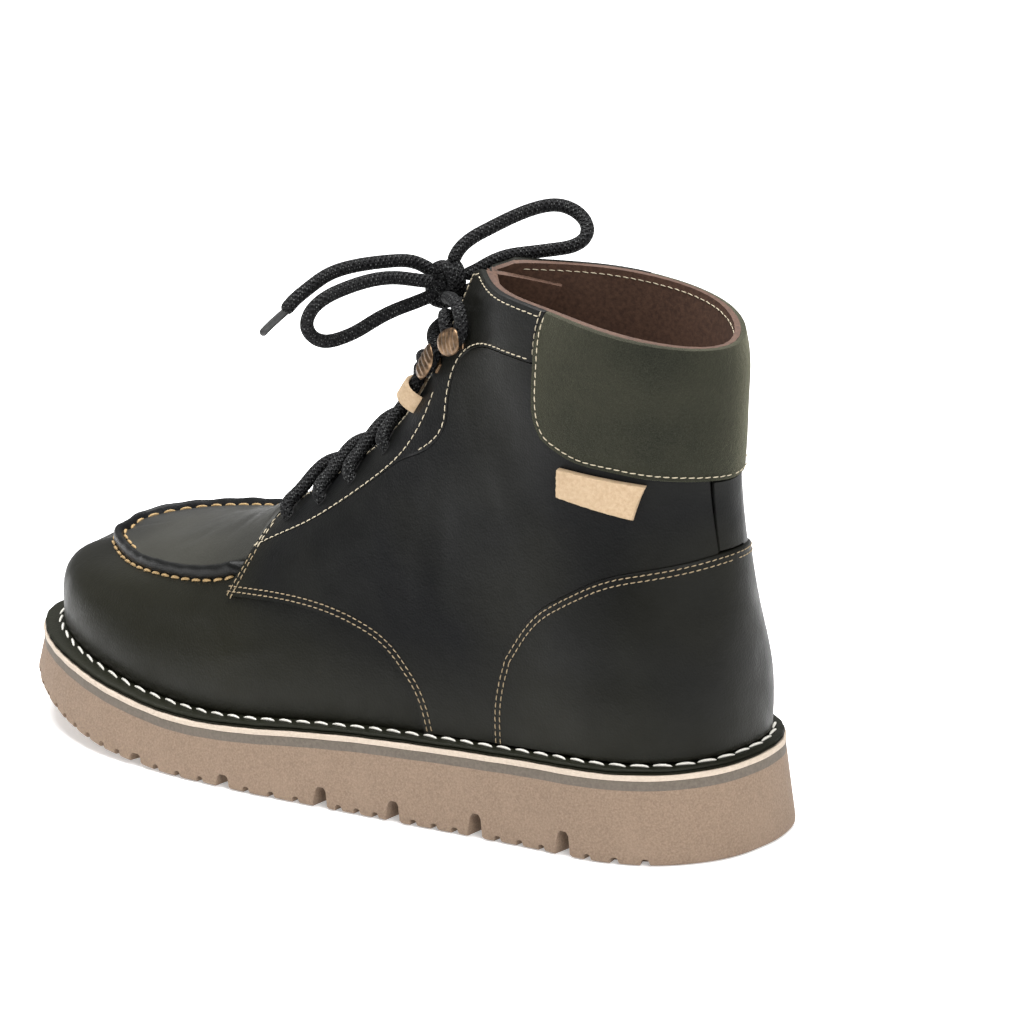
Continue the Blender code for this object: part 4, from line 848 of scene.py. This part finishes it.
def tube(name, route, diameter, material, sides=12, step=0.0009, seed=0.0):
    """A braided round tube along a route, with run and turn as its map."""
    route = np.asarray(route, float)
    run = length_along(route)
    n = max(6, int(run[-1] / step))
    s = np.linspace(0, run[-1], n + 1)
    line = np.stack([spline(run, route[:, k], s) for k in range(3)], -1)
    t = unit(np.gradient(line, axis=0))
    side = unit(np.cross(t[0], (0.3, 0.2, 1.0)))
    points = []
    uv = []
    for i in range(n + 1):
        side = unit(side - t[i] * (side @ t[i]))
        other = np.cross(t[i], side)
        end = min(s[i], run[-1] - s[i]) / (diameter / 2)
        size = diameter / 2 * math.sqrt(1 - max(0.0, 1 - end) ** 2 * 0.85)
        for k in range(sides + 1):
            w = 2 * math.pi * k / sides
            points.append(line[i] + (side * math.cos(w) + other * math.sin(w)) * size)
            uv.append((s[i] + seed, k / sides))
    m = sides + 1
    faces = net(n + 1, m)
    faces.append(tuple(range(sides - 1, -1, -1)))
    faces.append(tuple(n * m + k for k in range(sides)))
    ob = mesh_object(name, points, faces, [material], uv=uv, sharp=80)
    return ob, line - (HEEL_REST, 0, 0), run[-1]


def bead(rows, pitch, long, thick, name, material, lean=0.0):
    """Rows of stitches as small rounded threads; a row is points with normals."""
    rings = 5
    sides = 6
    body = []
    for i in range(rings + 1):
        a = math.pi * i / rings
        for k in range(sides):
            w = 2 * math.pi * k / sides
            flat = math.sin(a) ** 0.6
            body.append((math.cos(a), flat * math.cos(w), flat * math.sin(w)))
    body = np.array(body) * (long / 2, thick / 2, thick / 2)
    arch = -(body[:, 0] / (long / 2)) ** 2 * thick * 0.35
    cell = np.array(net(rings + 1, sides, round_columns=True))
    points = []
    for p, n in rows:
        run = length_along(p)

        def read(table, at):
            return np.array([np.interp(at, run, table[:, k]) for k in range(3)])

        for i, c in enumerate(np.arange(pitch * 0.5, run[-1] - pitch * 0.3, pitch)):
            t = unit(read(p, c + long / 2) - read(p, c - long / 2))
            up = read(n, c)
            up = unit(up - t * (up @ t))
            side = np.cross(up, t)
            w = lean + 0.05 * math.sin(i * 12.9898 + c * 3000)
            t, side = t * math.cos(w) + side * math.sin(w), side * math.cos(w) - t * math.sin(w)
            flat = body[:, :1] * t + body[:, 1:2] * side
            points.append(read(p, c) + flat + (body[:, 2:] + arch[:, None]) * up)
    faces = [cell + k * len(body) for k in range(len(points))]
    return mesh_object(name, np.concatenate(points), np.concatenate(faces), [material], sharp=90)


def row(side, line, distance, lift):
    """A stitch row on the last, moved to its left and lifted."""
    line = moved(line, distance, side) if distance else line
    p, n, du, dv = frames(np.full(len(line), side), line[:, 0], line[:, 1])
    return p + n * lift, n


def fine_outline(inset, n=640):
    """Closed outline of the sole, moved inward, as evenly spaced points with outward directions."""
    out = []
    for side in (1, -1):
        x, y, nx, ny, run = edge_line(side, inset)
        s = (1 - np.cos(np.linspace(0, math.pi, n // 2 + 1))) / 2 * 0.5 + np.linspace(0, 1, n // 2 + 1) * 0.5
        s = s * run[-1]
        half = np.stack([np.interp(s, run, c) for c in (x, y, nx, ny)], -1)
        half[0, 1] = half[-1, 1] = 0
        out.append(half)
    out[0][0, 1] = out[1][0, 1] = -TOE_SWING
    ring = np.concatenate([out[0], out[1][-2:0:-1]])
    return ring[:, 0], ring[:, 1], unit(ring[:, 2:])


def sole_ring(levels, name, material, capped=True, closed=False, wave=None):
    """A fine layer of the sole from rings given as (inset, height line)."""
    points = []
    for inset, height in levels:
        x, y, d = fine_outline(inset)
        z = height(x)
        if wave is not None:
            shift = wave(x, y, z)
            x = x + d[:, 0] * shift
            y = y + d[:, 1] * shift
        points.append(np.stack([x, y, z], -1))
    size = len(points[0])
    faces = [(a, d, c, b) for a, b, c, d in net(len(levels), size, closed, True)]
    if capped:
        half = size // 2
        for base, flip in ((0, False), ((len(levels) - 1) * size, True)):
            for i in range(half):
                a, b = base + i, base + i + 1
                c, e = base + (size - i - 1) % size, base + (size - i) % size
                f = (a, b, c, e) if i else (a, b, c)
                f = f if i < half - 1 else (a, b, e)
                faces.append(tuple(reversed(f)) if flip else f)
    return mesh_object(name, np.concatenate(points), faces, [material], sharp=40)


def build_materials():
    """All finishes of the boot, by name."""
    m = {values[0]: leather(*values) for values in LEATHERS}
    m["suede"] = suede("suede")
    m.update({values[0]: plain(*values) for values in PLAIN})
    m["lace"] = braid("lace")
    return m


def bow(m):
    """The knot, the two loops and the two ends of the bow."""
    shown = []
    for node, name, route, seed, far, lay in BOW:
        shown.append(tube(name, route, LACE, m["lace"], seed=seed))
    reach = np.array(OUTER_TAG)
    reach = np.concatenate([[reach[0] - (reach[1] - reach[0]) * 0.7], reach])
    tip = tube("lace_tip_show", reach, AGLET * 0.85, m["lace_tip"], 12, 0.0006)[0]
    wraps = []
    for i, (centre, a, b, tilt, lean) in enumerate(WRAPS):
        ring = []
        for w in np.linspace(0, 2 * math.pi * 1.04, 30):
            x = a * math.cos(w)
            z = b * math.sin(w)
            y = x * tilt + z * lean * 0.4 + 0.0012 * (w / 6.5 - 0.5)
            ring.append(np.array(KNOT) + centre + (x, y, z))
        wraps.append(tube("lace_wrap_" + str(i), ring, LACE * 0.95, m["lace"], seed=0.1 * i)[0])
    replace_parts(tip, "aglet_outer")
    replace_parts(wraps[0], "lace_knot")
    for (ob, path, length), (node, name, route, seed, far, lay) in zip(shown, BOW):
        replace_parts(ob, node)


def crossings(m):
    """The lace from the lowest eyelets over the throat, through the loops and round the hooks."""
    shown = []
    for side in (1, -1):
        over = 0.0054 if side > 0 else 0.0034
        for k in range(4):
            u, v = EYELETS[k]
            start = [(side, u, v - 0.002, -0.0050), (side, u, v, 0.0004), (side, u, v + 0.012, 0.0033),
                     (side, u + 0.001, v + 0.034, 0.0042), (side, u + 0.006, v + 0.080, 0.0040)]
            if k < 3:
                w, x = EYELETS[k + 1]
                start += [(side, (u + w) / 2, 1.0, over), (-side, w - 0.012, 0.950, 0.0028),
                          (-side, w - 0.004, 0.905, 0.0002)]
                route = [on_last(*q) for q in start]
            else:
                route = [on_last(*q) for q in start] + [on_last(side, 0.650, 1.0, over)]
                route += legs(-side, LEATHER_LOOP, 4.6, 0.6, 3.2)
                route += [on_last(-side, 0.697, 1.0, over)]
                route += legs(side, HOOKS[0], 4.2, -0.4, 2.9)
                route += [on_last(side, 0.743, 1.0, over)]
                route += legs(-side, HOOKS[1], 4.2, -0.4, 2.9)
                route += [np.array(KNOT) + (-0.002, -0.003 * side, -0.0045)]
            shown.append(tube("lace_strand_" + str(side + 1) + str(k), route, LACE * 0.98, m["lace"],
                              seed=0.07 * k)[0])
    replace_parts(shown[0], "lace_crossings")


def on_last(side, u, v, lift):
    """One point on the last, lifted."""
    p, n, du, dv = frames([side], [u], [v])
    return p[0] + n[0] * lift


def local(side, place):
    """Middle, direction along the throat, across it and outward at a fitting."""
    p, n, du, dv = frames([side], [place[0]], [place[1]])
    up = n[0]
    along = unit(du[0] - up * float(du[0] @ up))
    across = np.cross(along, up)
    if across @ dv[0] < 0:
        across = -across
    return p[0] + up * QUARTER_OUT, along, across, up


def legs(side, place, reach, depth, high):
    """Turn of the lace round a fitting, in mm, coming from the throat and going back to it."""
    p, along, across, up = local(side, place)
    turn = [(-reach - 0.3, 6.5, high + 0.8), (-reach, 3.0, high), (-reach * 0.72, depth + 0.7, high),
            (0, depth, high), (reach * 0.72, depth + 0.7, high), (reach, 3.0, high),
            (reach + 0.3, 6.5, high + 0.8)]
    return [p + (along * a + across * c + up * h) * 0.001 for a, c, h in turn]


def sole(m):
    """Outsole with its notches, midsole stripes, welt and insole."""
    cream_low = CREAM_THICK - 0.0003
    grey_low = CREAM_THICK + GREY_THICK

    def height(drop):
        return lambda x: sole_top(x) - drop

    def between(share):
        return lambda x: (sole_top(x) - grey_low) * (1 - share) + (sole_bottom(x) + SOLE_BEVEL) * share

    def bulge(x, y, z):
        return 0.00012 * np.sin(x * 190 + y * 130) + 0.00008 * np.sin(x * 430 - y * 310)

    levels = [(-SOLE_FLARE * s, between(s)) for s in np.linspace(0, 1, 9)]
    levels += [(-SOLE_FLARE + SOLE_BEVEL * 0.35, lambda x: sole_bottom(x) + SOLE_BEVEL * 0.35),
               (-SOLE_FLARE + SOLE_BEVEL, sole_bottom)]
    tread = sole_ring(levels, "outsole_show", m["tan_sole"], wave=bulge)
    cut(tread, notches(m))
    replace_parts(tread, "outsole")
    rings = [(0.0002, height(cream_low)), (0.0, height(cream_low + 0.0002)), (0.0, height(grey_low))]
    grey = sole_ring(rings, "midsole_grey_show", m["grey"], wave=bulge)
    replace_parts(grey, "midsole_grey")
    cream = sole_ring([(0.0003, height(0)), (-0.0001, height(0.0005)), (-0.0001, height(cream_low))],
                      "midsole_cream_show", m["cream"], wave=bulge)
    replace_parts(cream, "midsole_cream")
    low = 0.00005
    top = WELT_GAP + WELT_THICK

    def rough(x, y, z):
        return 0.00016 * np.sin(x * 260 + y * 170) + 0.0001 * np.sin(x * 700 - y * 500)

    ring = [(WELT_INNER, top), (0.0060, top + 0.0001), (0.0040, top - 0.0002),
            (WELT_INSET + 0.0007, top - 0.0001), (WELT_INSET + 0.0001, top - 0.0004),
            (WELT_INSET - 0.0001, top - 0.0008),
            (WELT_INSET + 0.0006, (low + top) / 2), (WELT_INSET - 0.0001, low + 0.0006),
            (WELT_INSET + 0.0003, low), (WELT_INNER, low)]
    rings = [(inset, lambda x, z=z: sole_top(x) + z) for inset, z in ring]
    welt = sole_ring(rings, "welt_show", m["leather_welt"], capped=False, closed=True, wave=rough)
    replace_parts(welt, "welt")
    x, y, d = fine_outline(0.0048)
    away = np.interp(x, [0.08, 0.11, 0.18, 0.21], [0.0009, 0.0002, 0.0002, -0.0010])
    p = np.stack([x + d[:, 0] * away, y + d[:, 1] * away, sole_top(x) + top + 0.0003], -1)
    p = np.concatenate([p, p[:1]])
    n = np.tile((0.0, 0.0, 1.0), (len(p), 1))
    bead([(p, n)], 0.0074, 0.0066, 0.0010, "welt_stitches", m["white_thread"], lean=-0.16)
    ring = [(INSOLE_INSET + 0.0012, INSOLE_THICK), (INSOLE_INSET, INSOLE_THICK - 0.001), (INSOLE_INSET, 0)]
    rings = [(inset, lambda x, z=z: sole_top(x) + WELT_GAP + z) for inset, z in ring]
    insole = sole_ring(rings, "insole_show", m["lining"])
    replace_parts(insole, "insole")


def notches(m):
    """Arched notches and small teeth along the tread's edge, as one cutter."""
    points = []
    faces = []
    outer = edge_line(1, -SOLE_FLARE)
    inner = edge_line(-1, -SOLE_FLARE)
    marks = [(share * LENGTH, NOTCH_HIGH * high, NOTCH_WIDTH * 1.55, NOTCH_DEPTH) for share, high in NOTCHES]
    big = sorted(share * LENGTH for share, high in NOTCHES)
    gaps = list(zip(big[:-1], big[1:])) + [(0.008, big[0])]
    for a, b in gaps:
        for k in (1, 2, 3):
            marks.append((a + (b - a) * k / 4, 0.0027, 0.0030, 0.005))
    marks += [(x, 0.0029, 0.0030, 0.005) for x in TOE_TEETH]
    for x, high, wide, deep in marks:
        floor = float(sole_bottom(x))
        for line, way in ((outer, 1), (inner, -1)):
            y = float(np.interp(x, line[0][::-1], line[1][::-1]))
            nx = float(np.interp(x, line[0][::-1], line[2][::-1]))
            ny = float(np.interp(x, line[0][::-1], line[3][::-1]))
            d = np.array([nx, ny, 0]) / math.hypot(nx, ny)
            t = np.array([d[1], -d[0], 0]) * way
            start = len(points)
            for out, size in ((-deep, 0.75), (0.005, 1.0)):
                for ax, az in ARCH:
                    rise = az * high * size if az > 0 else az * 0.003
                    points.append(np.array([x, y, floor + rise]) + d * out + t * (ax * wide * size))
            k = len(ARCH)
            f = [tuple(range(start, start + k)), tuple(reversed(range(start + k, start + 2 * k)))]
            f += [(a, d, c, b) for a, b, c, d in net(2, k, False, True, start)]
            faces += f if way > 0 else [tuple(reversed(q)) for q in f]
    ob = mesh_object("notch_cutter", points, faces, [m["tan_sole"]])
    outward(ob)
    return ob


def cut(ob, cutter):
    """Cut one piece out of another and drop the cutter."""
    outward(ob)
    mod = ob.modifiers.new("cut", "BOOLEAN")
    mod.operation = "DIFFERENCE"
    mod.solver = "EXACT"
    mod.object = cutter
    graph = bpy.context.evaluated_depsgraph_get()
    mesh = bpy.data.meshes.new_from_object(ob.evaluated_get(graph))
    ob.modifiers.clear()
    ob.data = mesh
    ob.data.set_sharp_from_angle(angle=math.radians(35))
    bpy.data.objects.remove(cutter)


def sided(grid, side):
    """A pattern grid with its side."""
    return np.concatenate([np.full(grid.shape[:2] + (1,), float(side)), grid], -1)


def both(grid):
    """The same pattern grid on both halves."""
    return [sided(grid, 1), sided(grid, -1)]


def upper(m):
    """The hollow wall of the upper, with its lining."""
    u = np.unique(np.concatenate([np.linspace(0, 1, 150), [PLUG_END]]))
    edge = np.array(THROAT_EDGE)
    limit = np.where(u <= PLUG_END, 0.80, np.interp(u, edge[:, 0], edge[:, 1]))
    t = np.linspace(0, 1, 49)
    grid = np.zeros((len(u), len(t) + 10, 2))
    grid[:, :, 0] = u[:, None]
    grid[:, :49, 1] = limit[:, None] * t
    for k in range(10):
        grid[:, 49 + k, 1] = limit + (1 - limit) * (k + 1) / 10

    def keep(g):
        cells = np.zeros((g.shape[0] - 1, g.shape[1] - 1), bool)
        cells[:, :48] = True
        cells[g[1:, 0, 1] <= PLUG_END + 1e-9, 48:] = True
        return cells

    panel("upper", both(grid), -UPPER_WALL, 0.0, [m["leather"], m["lining"]], "leather",
          turn=0.0002, keep=keep, lining=True)


def panels(m):
    """Quarters, facings, counter, cuff, backstay, apron, moc seam, tongue and tag."""
    g = 0.00006
    sink = -0.0002
    skins = [m["leather"], m["leather_edge"]]
    line = curve(FACING_LINE, 140)
    split = int(np.argmin(abs(line[:, 0] - 0.740)))
    front = curve(COUNTER_FRONT, 40)
    arc = curve(COUNTER_EDGE, 120)
    drop = curve(CUFF_FRONT[2:], 24)
    under = curve(CUFF_EDGE, 60)
    for side, word in ((1, "outer"), (-1, "inner")):
        low_line = moved(line, -g, side)
        low = np.concatenate([moved(arc, g, side)[:-1], [[BACK_SEAM, 0.4722]]])
        low = low[low[:, 0] <= BACK_SEAM]
        post = np.linspace(low[0], low_line[split], 40)
        foot = np.linspace((0.634, 0.004), (0.7199, 0.004), 60)
        left = chain(curve(FRONT_SEAM, 80), curve(FRONT_RISE, 24))
        left[-1] = low_line[0]
        right = chain(moved(front, g, side), post)
        right[0] = foot[-1]
        fore = patch(foot, low_line[:split + 1], left, right, 64, 56)
        high = chain(low_line[split:], moved(drop, -g, side), moved(under, -g, side))
        high = high[high[:, 0] <= BACK_SEAM]
        back = patch(low, high, post, np.linspace(low[-1], high[-1], 40), 76, 40)
        ob = skin("quarter_" + word + "_fore", [sided(fore, side)], sink, QUARTER_OUT, skins, "leather", 0.0)
        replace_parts(ob, "quarter_" + word)
        skin("quarter_" + word + "_back", [sided(back, side)], sink, QUARTER_OUT, skins, "leather", 0.0)

        bottom = moved(line, g, side)
        top = chain(curve(THROAT_EDGE, 110), curve([(0.820, 1.0), (0.865, 1.0), (0.907, 1.0)], 40))
        left = curve([tuple(bottom[0]), (0.421, 0.74), tuple(top[0])], 20)
        right = moved(curve(CUFF_FRONT[:3], 30)[::-1], g, side)
        bottom[-1] = right[0]
        top[-1] = right[-1]
        grid = sided(patch(bottom, top, left, right, 120, 22), side)
        panel("facing_" + word, [grid], sink, QUARTER_OUT + 0.0001, skins, "leather", 0.0004)

    top = moved(arc, -g)
    left = moved(front, -g)
    bottom = np.linspace((0.7201, 0.004), (1, 0.004), 60)
    left[0] = bottom[0]
    left[-1] = top[0]
    right = np.linspace(bottom[-1], top[-1], 30)
    grid = patch(bottom, top, left, right, 70, 34)
    panel("counter", both(grid), sink, COUNTER_OUT, skins, "leather")

    bottom = moved(under, g)
    rise = chain(curve(CUFF_FRONT[:3], 30), drop)
    left = moved(rise, g)[::-1]
    left[0] = bottom[0]
    top = curve([tuple(left[-1]), (0.95, 1.0), (1, 1.0)], 60)
    right = np.linspace(bottom[-1], (1, 1), 40)
    knots = [0.6, 0.66, 0.72, 0.85, 0.96, 1.0]
    heights = [CUFF_OUT - 0.0010, CUFF_OUT - 0.0004, CUFF_OUT, CUFF_OUT, CUFF_OUT - 0.0006,
               CUFF_TOP_OUT - 0.0006]
    panel("cuff", both(patch(bottom, top, left, right, 60, 50)), sink,
          lambda u, v: spline(knots, heights, v), [m["suede"]], "suede", 0.0008)

    bottom = np.linspace((BACK_SEAM + 0.0003, 0.4730), (1, 0.4730), 8)
    top = np.linspace((BACK_SEAM + 0.0003, 0.6470), (1, 0.6470), 8)
    grid = patch(bottom, top, np.linspace(bottom[0], top[0], 20), np.linspace(bottom[-1], top[-1], 20), 8, 24)
    panel("backstay", both(grid), sink, BACKSTAY_OUT, skins, "leather")

    u = np.linspace(0, LIP_END + 0.012, 220)
    swing = np.linspace(-math.pi / 2, math.pi / 2, 19)
    v = LIP_MID + (LIP_HIGH - LIP_MID + 0.001) * np.sin(swing)
    grid = np.stack(np.meshgrid(u, v, indexing="ij"), -1)

    def roll(a, b):
        t = np.clip(abs(b - LIP_MID) / (LIP_HIGH - LIP_MID + 0.001), 0, 1)
        swell = 1 + 0.035 * np.sin(a * 150) + 0.03 * np.sin(a * 61 + 1)
        fade = np.clip((LIP_END + 0.010 - a) / 0.020, 0.18, 1)
        return 0.0002 + (LIP_OUT + 0.0009) * swell * fade * np.sqrt(np.clip(1 - t ** 2, 0, 1))

    panel("moc_lip", both(grid), sink, roll, [m["leather_lip"]], "leather", 0.0, folds=False)

    ends = spline([0, 0.25, 0.5, 0.75, 1], [0.4125, 0.4200, 0.4210, 0.4205, 0.4200], np.linspace(0, 1, 34))
    v = LIP_HIGH - 0.006 + (1 - LIP_HIGH + 0.006) * np.linspace(0, 1, 34)
    u = np.linspace(0, 1, 90)
    grid = np.zeros((90, 34, 2))
    grid[:, :, 0] = u[:, None] * ends[None]
    grid[:, :, 1] = v[None]
    # the apron takes the lighter plug leather, whose colour holds painted light from above
    panel("apron", both(grid), sink, APRON_OUT - 0.0001, [m["leather_plug_painted_toplight"]], "leather", 0.0008)

    edge = curve(TONGUE_EDGE, 80)
    ridge = curve(TONGUE_RIDGE, 80)
    ends = [np.linspace(edge[k], ridge[k], 20) for k in (0, -1)]
    grid = patch(edge, ridge, *ends, 60, 20)
    panel("tongue", both(grid), -TONGUE_OUT - TONGUE_THICK, -TONGUE_OUT, [m["leather"], m["lining"]],
          "leather", 0.0005, lining=True, folds=False)

    a, b, c, d = [np.array(q) for q in TAG]
    bottom, top, left, right = [np.linspace(*q) for q in ((d, c, 30), (a, b, 30), (d, a, 20), (c, b, 20))]
    grid = patch(bottom, top, left, right, 30, 18)
    low = QUARTER_OUT

    def soft(u, v):
        return low + TAG_THICK + 0.0002 * np.sin(u * 900) * np.sin(v * 300)

    panel("tag", [sided(grid, 1)], low - 0.0002, soft, [m["tan"]], "tan", 0.0009, folds=False)


def seams(m):
    """All stitch rows of the upper."""
    pale = []
    double = []
    ochre = []
    up = QUARTER_OUT + 0.00015
    for side in (1, -1):
        front = curve(FRONT_SEAM, 160)
        rise = curve(FRONT_RISE, 40)
        for d in (0.0013, 0.0031):
            double.append(row(side, front, -d, up))
            double.append(row(side, rise, -d, up))
            double.append(row(side, curve(COUNTER_FRONT, 60), -d, COUNTER_OUT + 0.00015))
            double.append(row(side, curve(COUNTER_EDGE, 160), -d, COUNTER_OUT + 0.00015))
            pale.append(row(side, curve(FACING_TIP, 40), -d, up + 0.0001))
        pale.append(row(side, curve(FACING_ROW, 120), 0.0, up + 0.0001))
        pale.append(row(side, curve(FACING_LINE[6:], 120), 0.0012, up + 0.0001))
        pale.append(row(side, curve(THROAT_EDGE, 160), -0.0016, up + 0.0001))
        pale.append(row(side, curve([(0.822, 1.0), (0.865, 1.0), (0.905, 1.0)], 60), -0.0022, up + 0.0001))
        cuff = curve(CUFF_FRONT, 90)
        pale.append(row(side, cuff[cuff[:, 1] > 0.882], -0.0012, up + 0.0001))
        pale.append(row(side, curve(CUFF_FRONT + CUFF_EDGE[1:], 240), 0.0018, CUFF_OUT + 0.0001))
        pale.append(row(side, curve(COLLAR_ROW, 90), -0.0022, -UPPER_WALL - 0.0001))
        u = np.linspace(0, LIP_END + 0.001, 200)
        drop = np.interp(u, [0, 0.05, 0.10, 0.40], [0.558, 0.555, 0.553, 0.553])
        ochre.append(row(side, np.stack([u, drop], -1), 0.0, 0.0004))
        reach = u[u < 0.11] if side > 0 else u
        ochre.append(row(side, np.stack([reach, np.full(len(reach), 0.6435)], -1), 0.0, APRON_OUT + 0.0002))
    for rows, (name, thread, pitch, long, thick, lean) in zip((pale, double, ochre), STITCHES):
        bead(rows, pitch, long, thick, name, m[thread], lean)


def fittings(m):
    """Hooks with ribs, leather lace loops, and near-black discs painted as the shade in the eyelet holes."""
    for side, word in ((1, "outer"), (-1, "inner")):
        for k, place in enumerate(HOOKS):
            name = "hook_" + word + "_" + str(k + 1)
            ob = hook(name + "_show", side, place, m["antique_brass"])
            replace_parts(ob, name)
        bend = [(5.0 * math.cos(w), 0.3 + 6.0 * math.sin(w)) for w in np.linspace(-0.1, math.pi + 0.1, 28)]
        ob = strip("lace_loop_" + word + "_show", side, LEATHER_LOOP, bend, 7.0, 1.4, m["tan"])
        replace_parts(ob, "lace_loop_" + word)
    # near-black discs at the eyelets: painted shade where the holes are
    points = []
    faces = []
    for side in (1, -1):
        for u, v in EYELETS:
            p, n, du, dv = frames([side], [u], [v])
            base = len(points)
            t = du[0]
            b = np.cross(n[0], t)
            points.append(p[0] + n[0] * (QUARTER_OUT + 0.0002))
            for w in range(16):
                a = 2 * math.pi * w / 16
                around = (t * math.cos(a) + b * math.sin(a)) * EYELET_RADIUS
                points.append(p[0] + n[0] * (QUARTER_OUT + 0.00022) + around)
            for w in range(16):
                faces.append((base, base + 1 + w, base + 1 + (w + 1) % 16))
    mesh_object("eyelet_shade_discs", points, faces, [m["painted_hole_shade"]])


def strip(name, side, place, line, wide, thick, material):
    """A bent strip at a fitting: a line across and outward in mm, its width along the throat."""
    p, along, across, up = local(side, place)
    line = np.array(line)
    t = unit(np.gradient(line, axis=0))
    n = np.stack([-t[:, 1], t[:, 0]], -1)
    ring = [(-0.5, -0.30), (-0.5, 0.30), (-0.46, 0.5), (0.46, 0.5), (0.5, 0.30), (0.5, -0.30),
            (0.46, -0.5), (-0.46, -0.5)]
    points = []
    for at, off in zip(line, n):
        for a, b in ring:
            q = at + off * b * thick
            points.append(p + (across * q[0] + up * q[1] + along * a * wide) * 0.001)
    k = len(ring)
    faces = net(len(line), k, round_columns=True)
    faces.append(tuple(range(k)))
    faces.append(tuple((len(line) - 1) * k + c for c in range(k)))
    ob = mesh_object(name, points, faces, [material], sharp=40)
    outward(ob)
    return ob


def hook(name, side, place, material):
    """A lace hook: ribbed rounded plate over a bent neck on the throat's side, and its foot."""
    p, along, across, up = local(side, place)
    points = []
    faces = []
    rings = 14
    turns = 56
    for face in (1, -1):
        base = len(points)
        for i in range(rings + 1):
            r = i / rings
            for k in range(turns):
                w = 2 * math.pi * k / turns
                c = math.copysign(abs(math.cos(w)) ** HOOK_SQUARE, math.cos(w)) * r
                a = math.copysign(abs(math.sin(w)) ** HOOK_SQUARE, math.sin(w)) * r
                x = HOOK_ACROSS * c - 0.8
                y = HOOK_ALONG * a
                edge = math.sqrt(max(0.0, 1 - r ** 8))
                z = HOOK_RISE - 0.045 * (x - 1.5) ** 2 + face * 0.55 * edge
                if face > 0:
                    z += RIB_HIGH * math.cos(y * 2.9) * edge * min(1.0, (1 - r) * 5)
                points.append(p + (across * x + along * y + up * z) * 0.001)
        disc = net(rings + 1, turns, round_columns=True, start=base)
        faces += [(f[0], f[2], f[3]) for f in disc[:turns]] + disc[turns:]
    ob = mesh_object(name, points, faces, [material], sharp=80)
    outward(ob, 0.00001)
    strip(name + "_neck", side, place, HOOK_NECK, 3.6, 0.9, material)
    return ob


def stage():
    """Pale floor and soft studio light."""
    mesh = bpy.data.meshes.new("floor")
    a = FLOOR_HALF
    corners = [(x, y, FLOOR_HEIGHT) for x, y in ((-a, -a), (a, -a), (a, a), (-a, a))]
    mesh.from_pydata(corners, [], [(0, 1, 2, 3)])
    s = Shader("floor")
    s.set(Base_Color=(0.92, 0.92, 0.92, 1), Roughness=0.9)
    s.set(Emission_Color=(1, 1, 1, 1))
    s.set(Emission_Strength=0.34)
    s.set(Specular_IOR_Level=0.1)
    mesh.materials.append(s.material)
    floor = bpy.data.objects.new("floor", mesh)
    bpy.context.scene.collection.objects.link(floor)
    world = bpy.data.worlds.new("studio")
    bpy.context.scene.world = world
    world.use_nodes = True
    world.node_tree.nodes["Background"].inputs[0].default_value = (1, 1, 1, 1)
    world.node_tree.nodes["Background"].inputs[1].default_value = 0.40
    bpy.context.scene.view_settings.view_transform = "Standard"
    for name, place, aim, size, power in LIGHTS:
        data = bpy.data.lights.new(name, "AREA")
        data.size = size
        data.energy = power
        ob = bpy.data.objects.new(name, data)
        ob.location = place
        ob.rotation_euler = (Vector(aim) - Vector(place)).to_track_quat("-Z", "Y").to_euler()
        bpy.context.scene.collection.objects.link(ob)


camera()
finishes = build_materials()
bow(finishes)
crossings(finishes)
sole(finishes)
upper(finishes)
panels(finishes)
seams(finishes)
fittings(finishes)
stage()
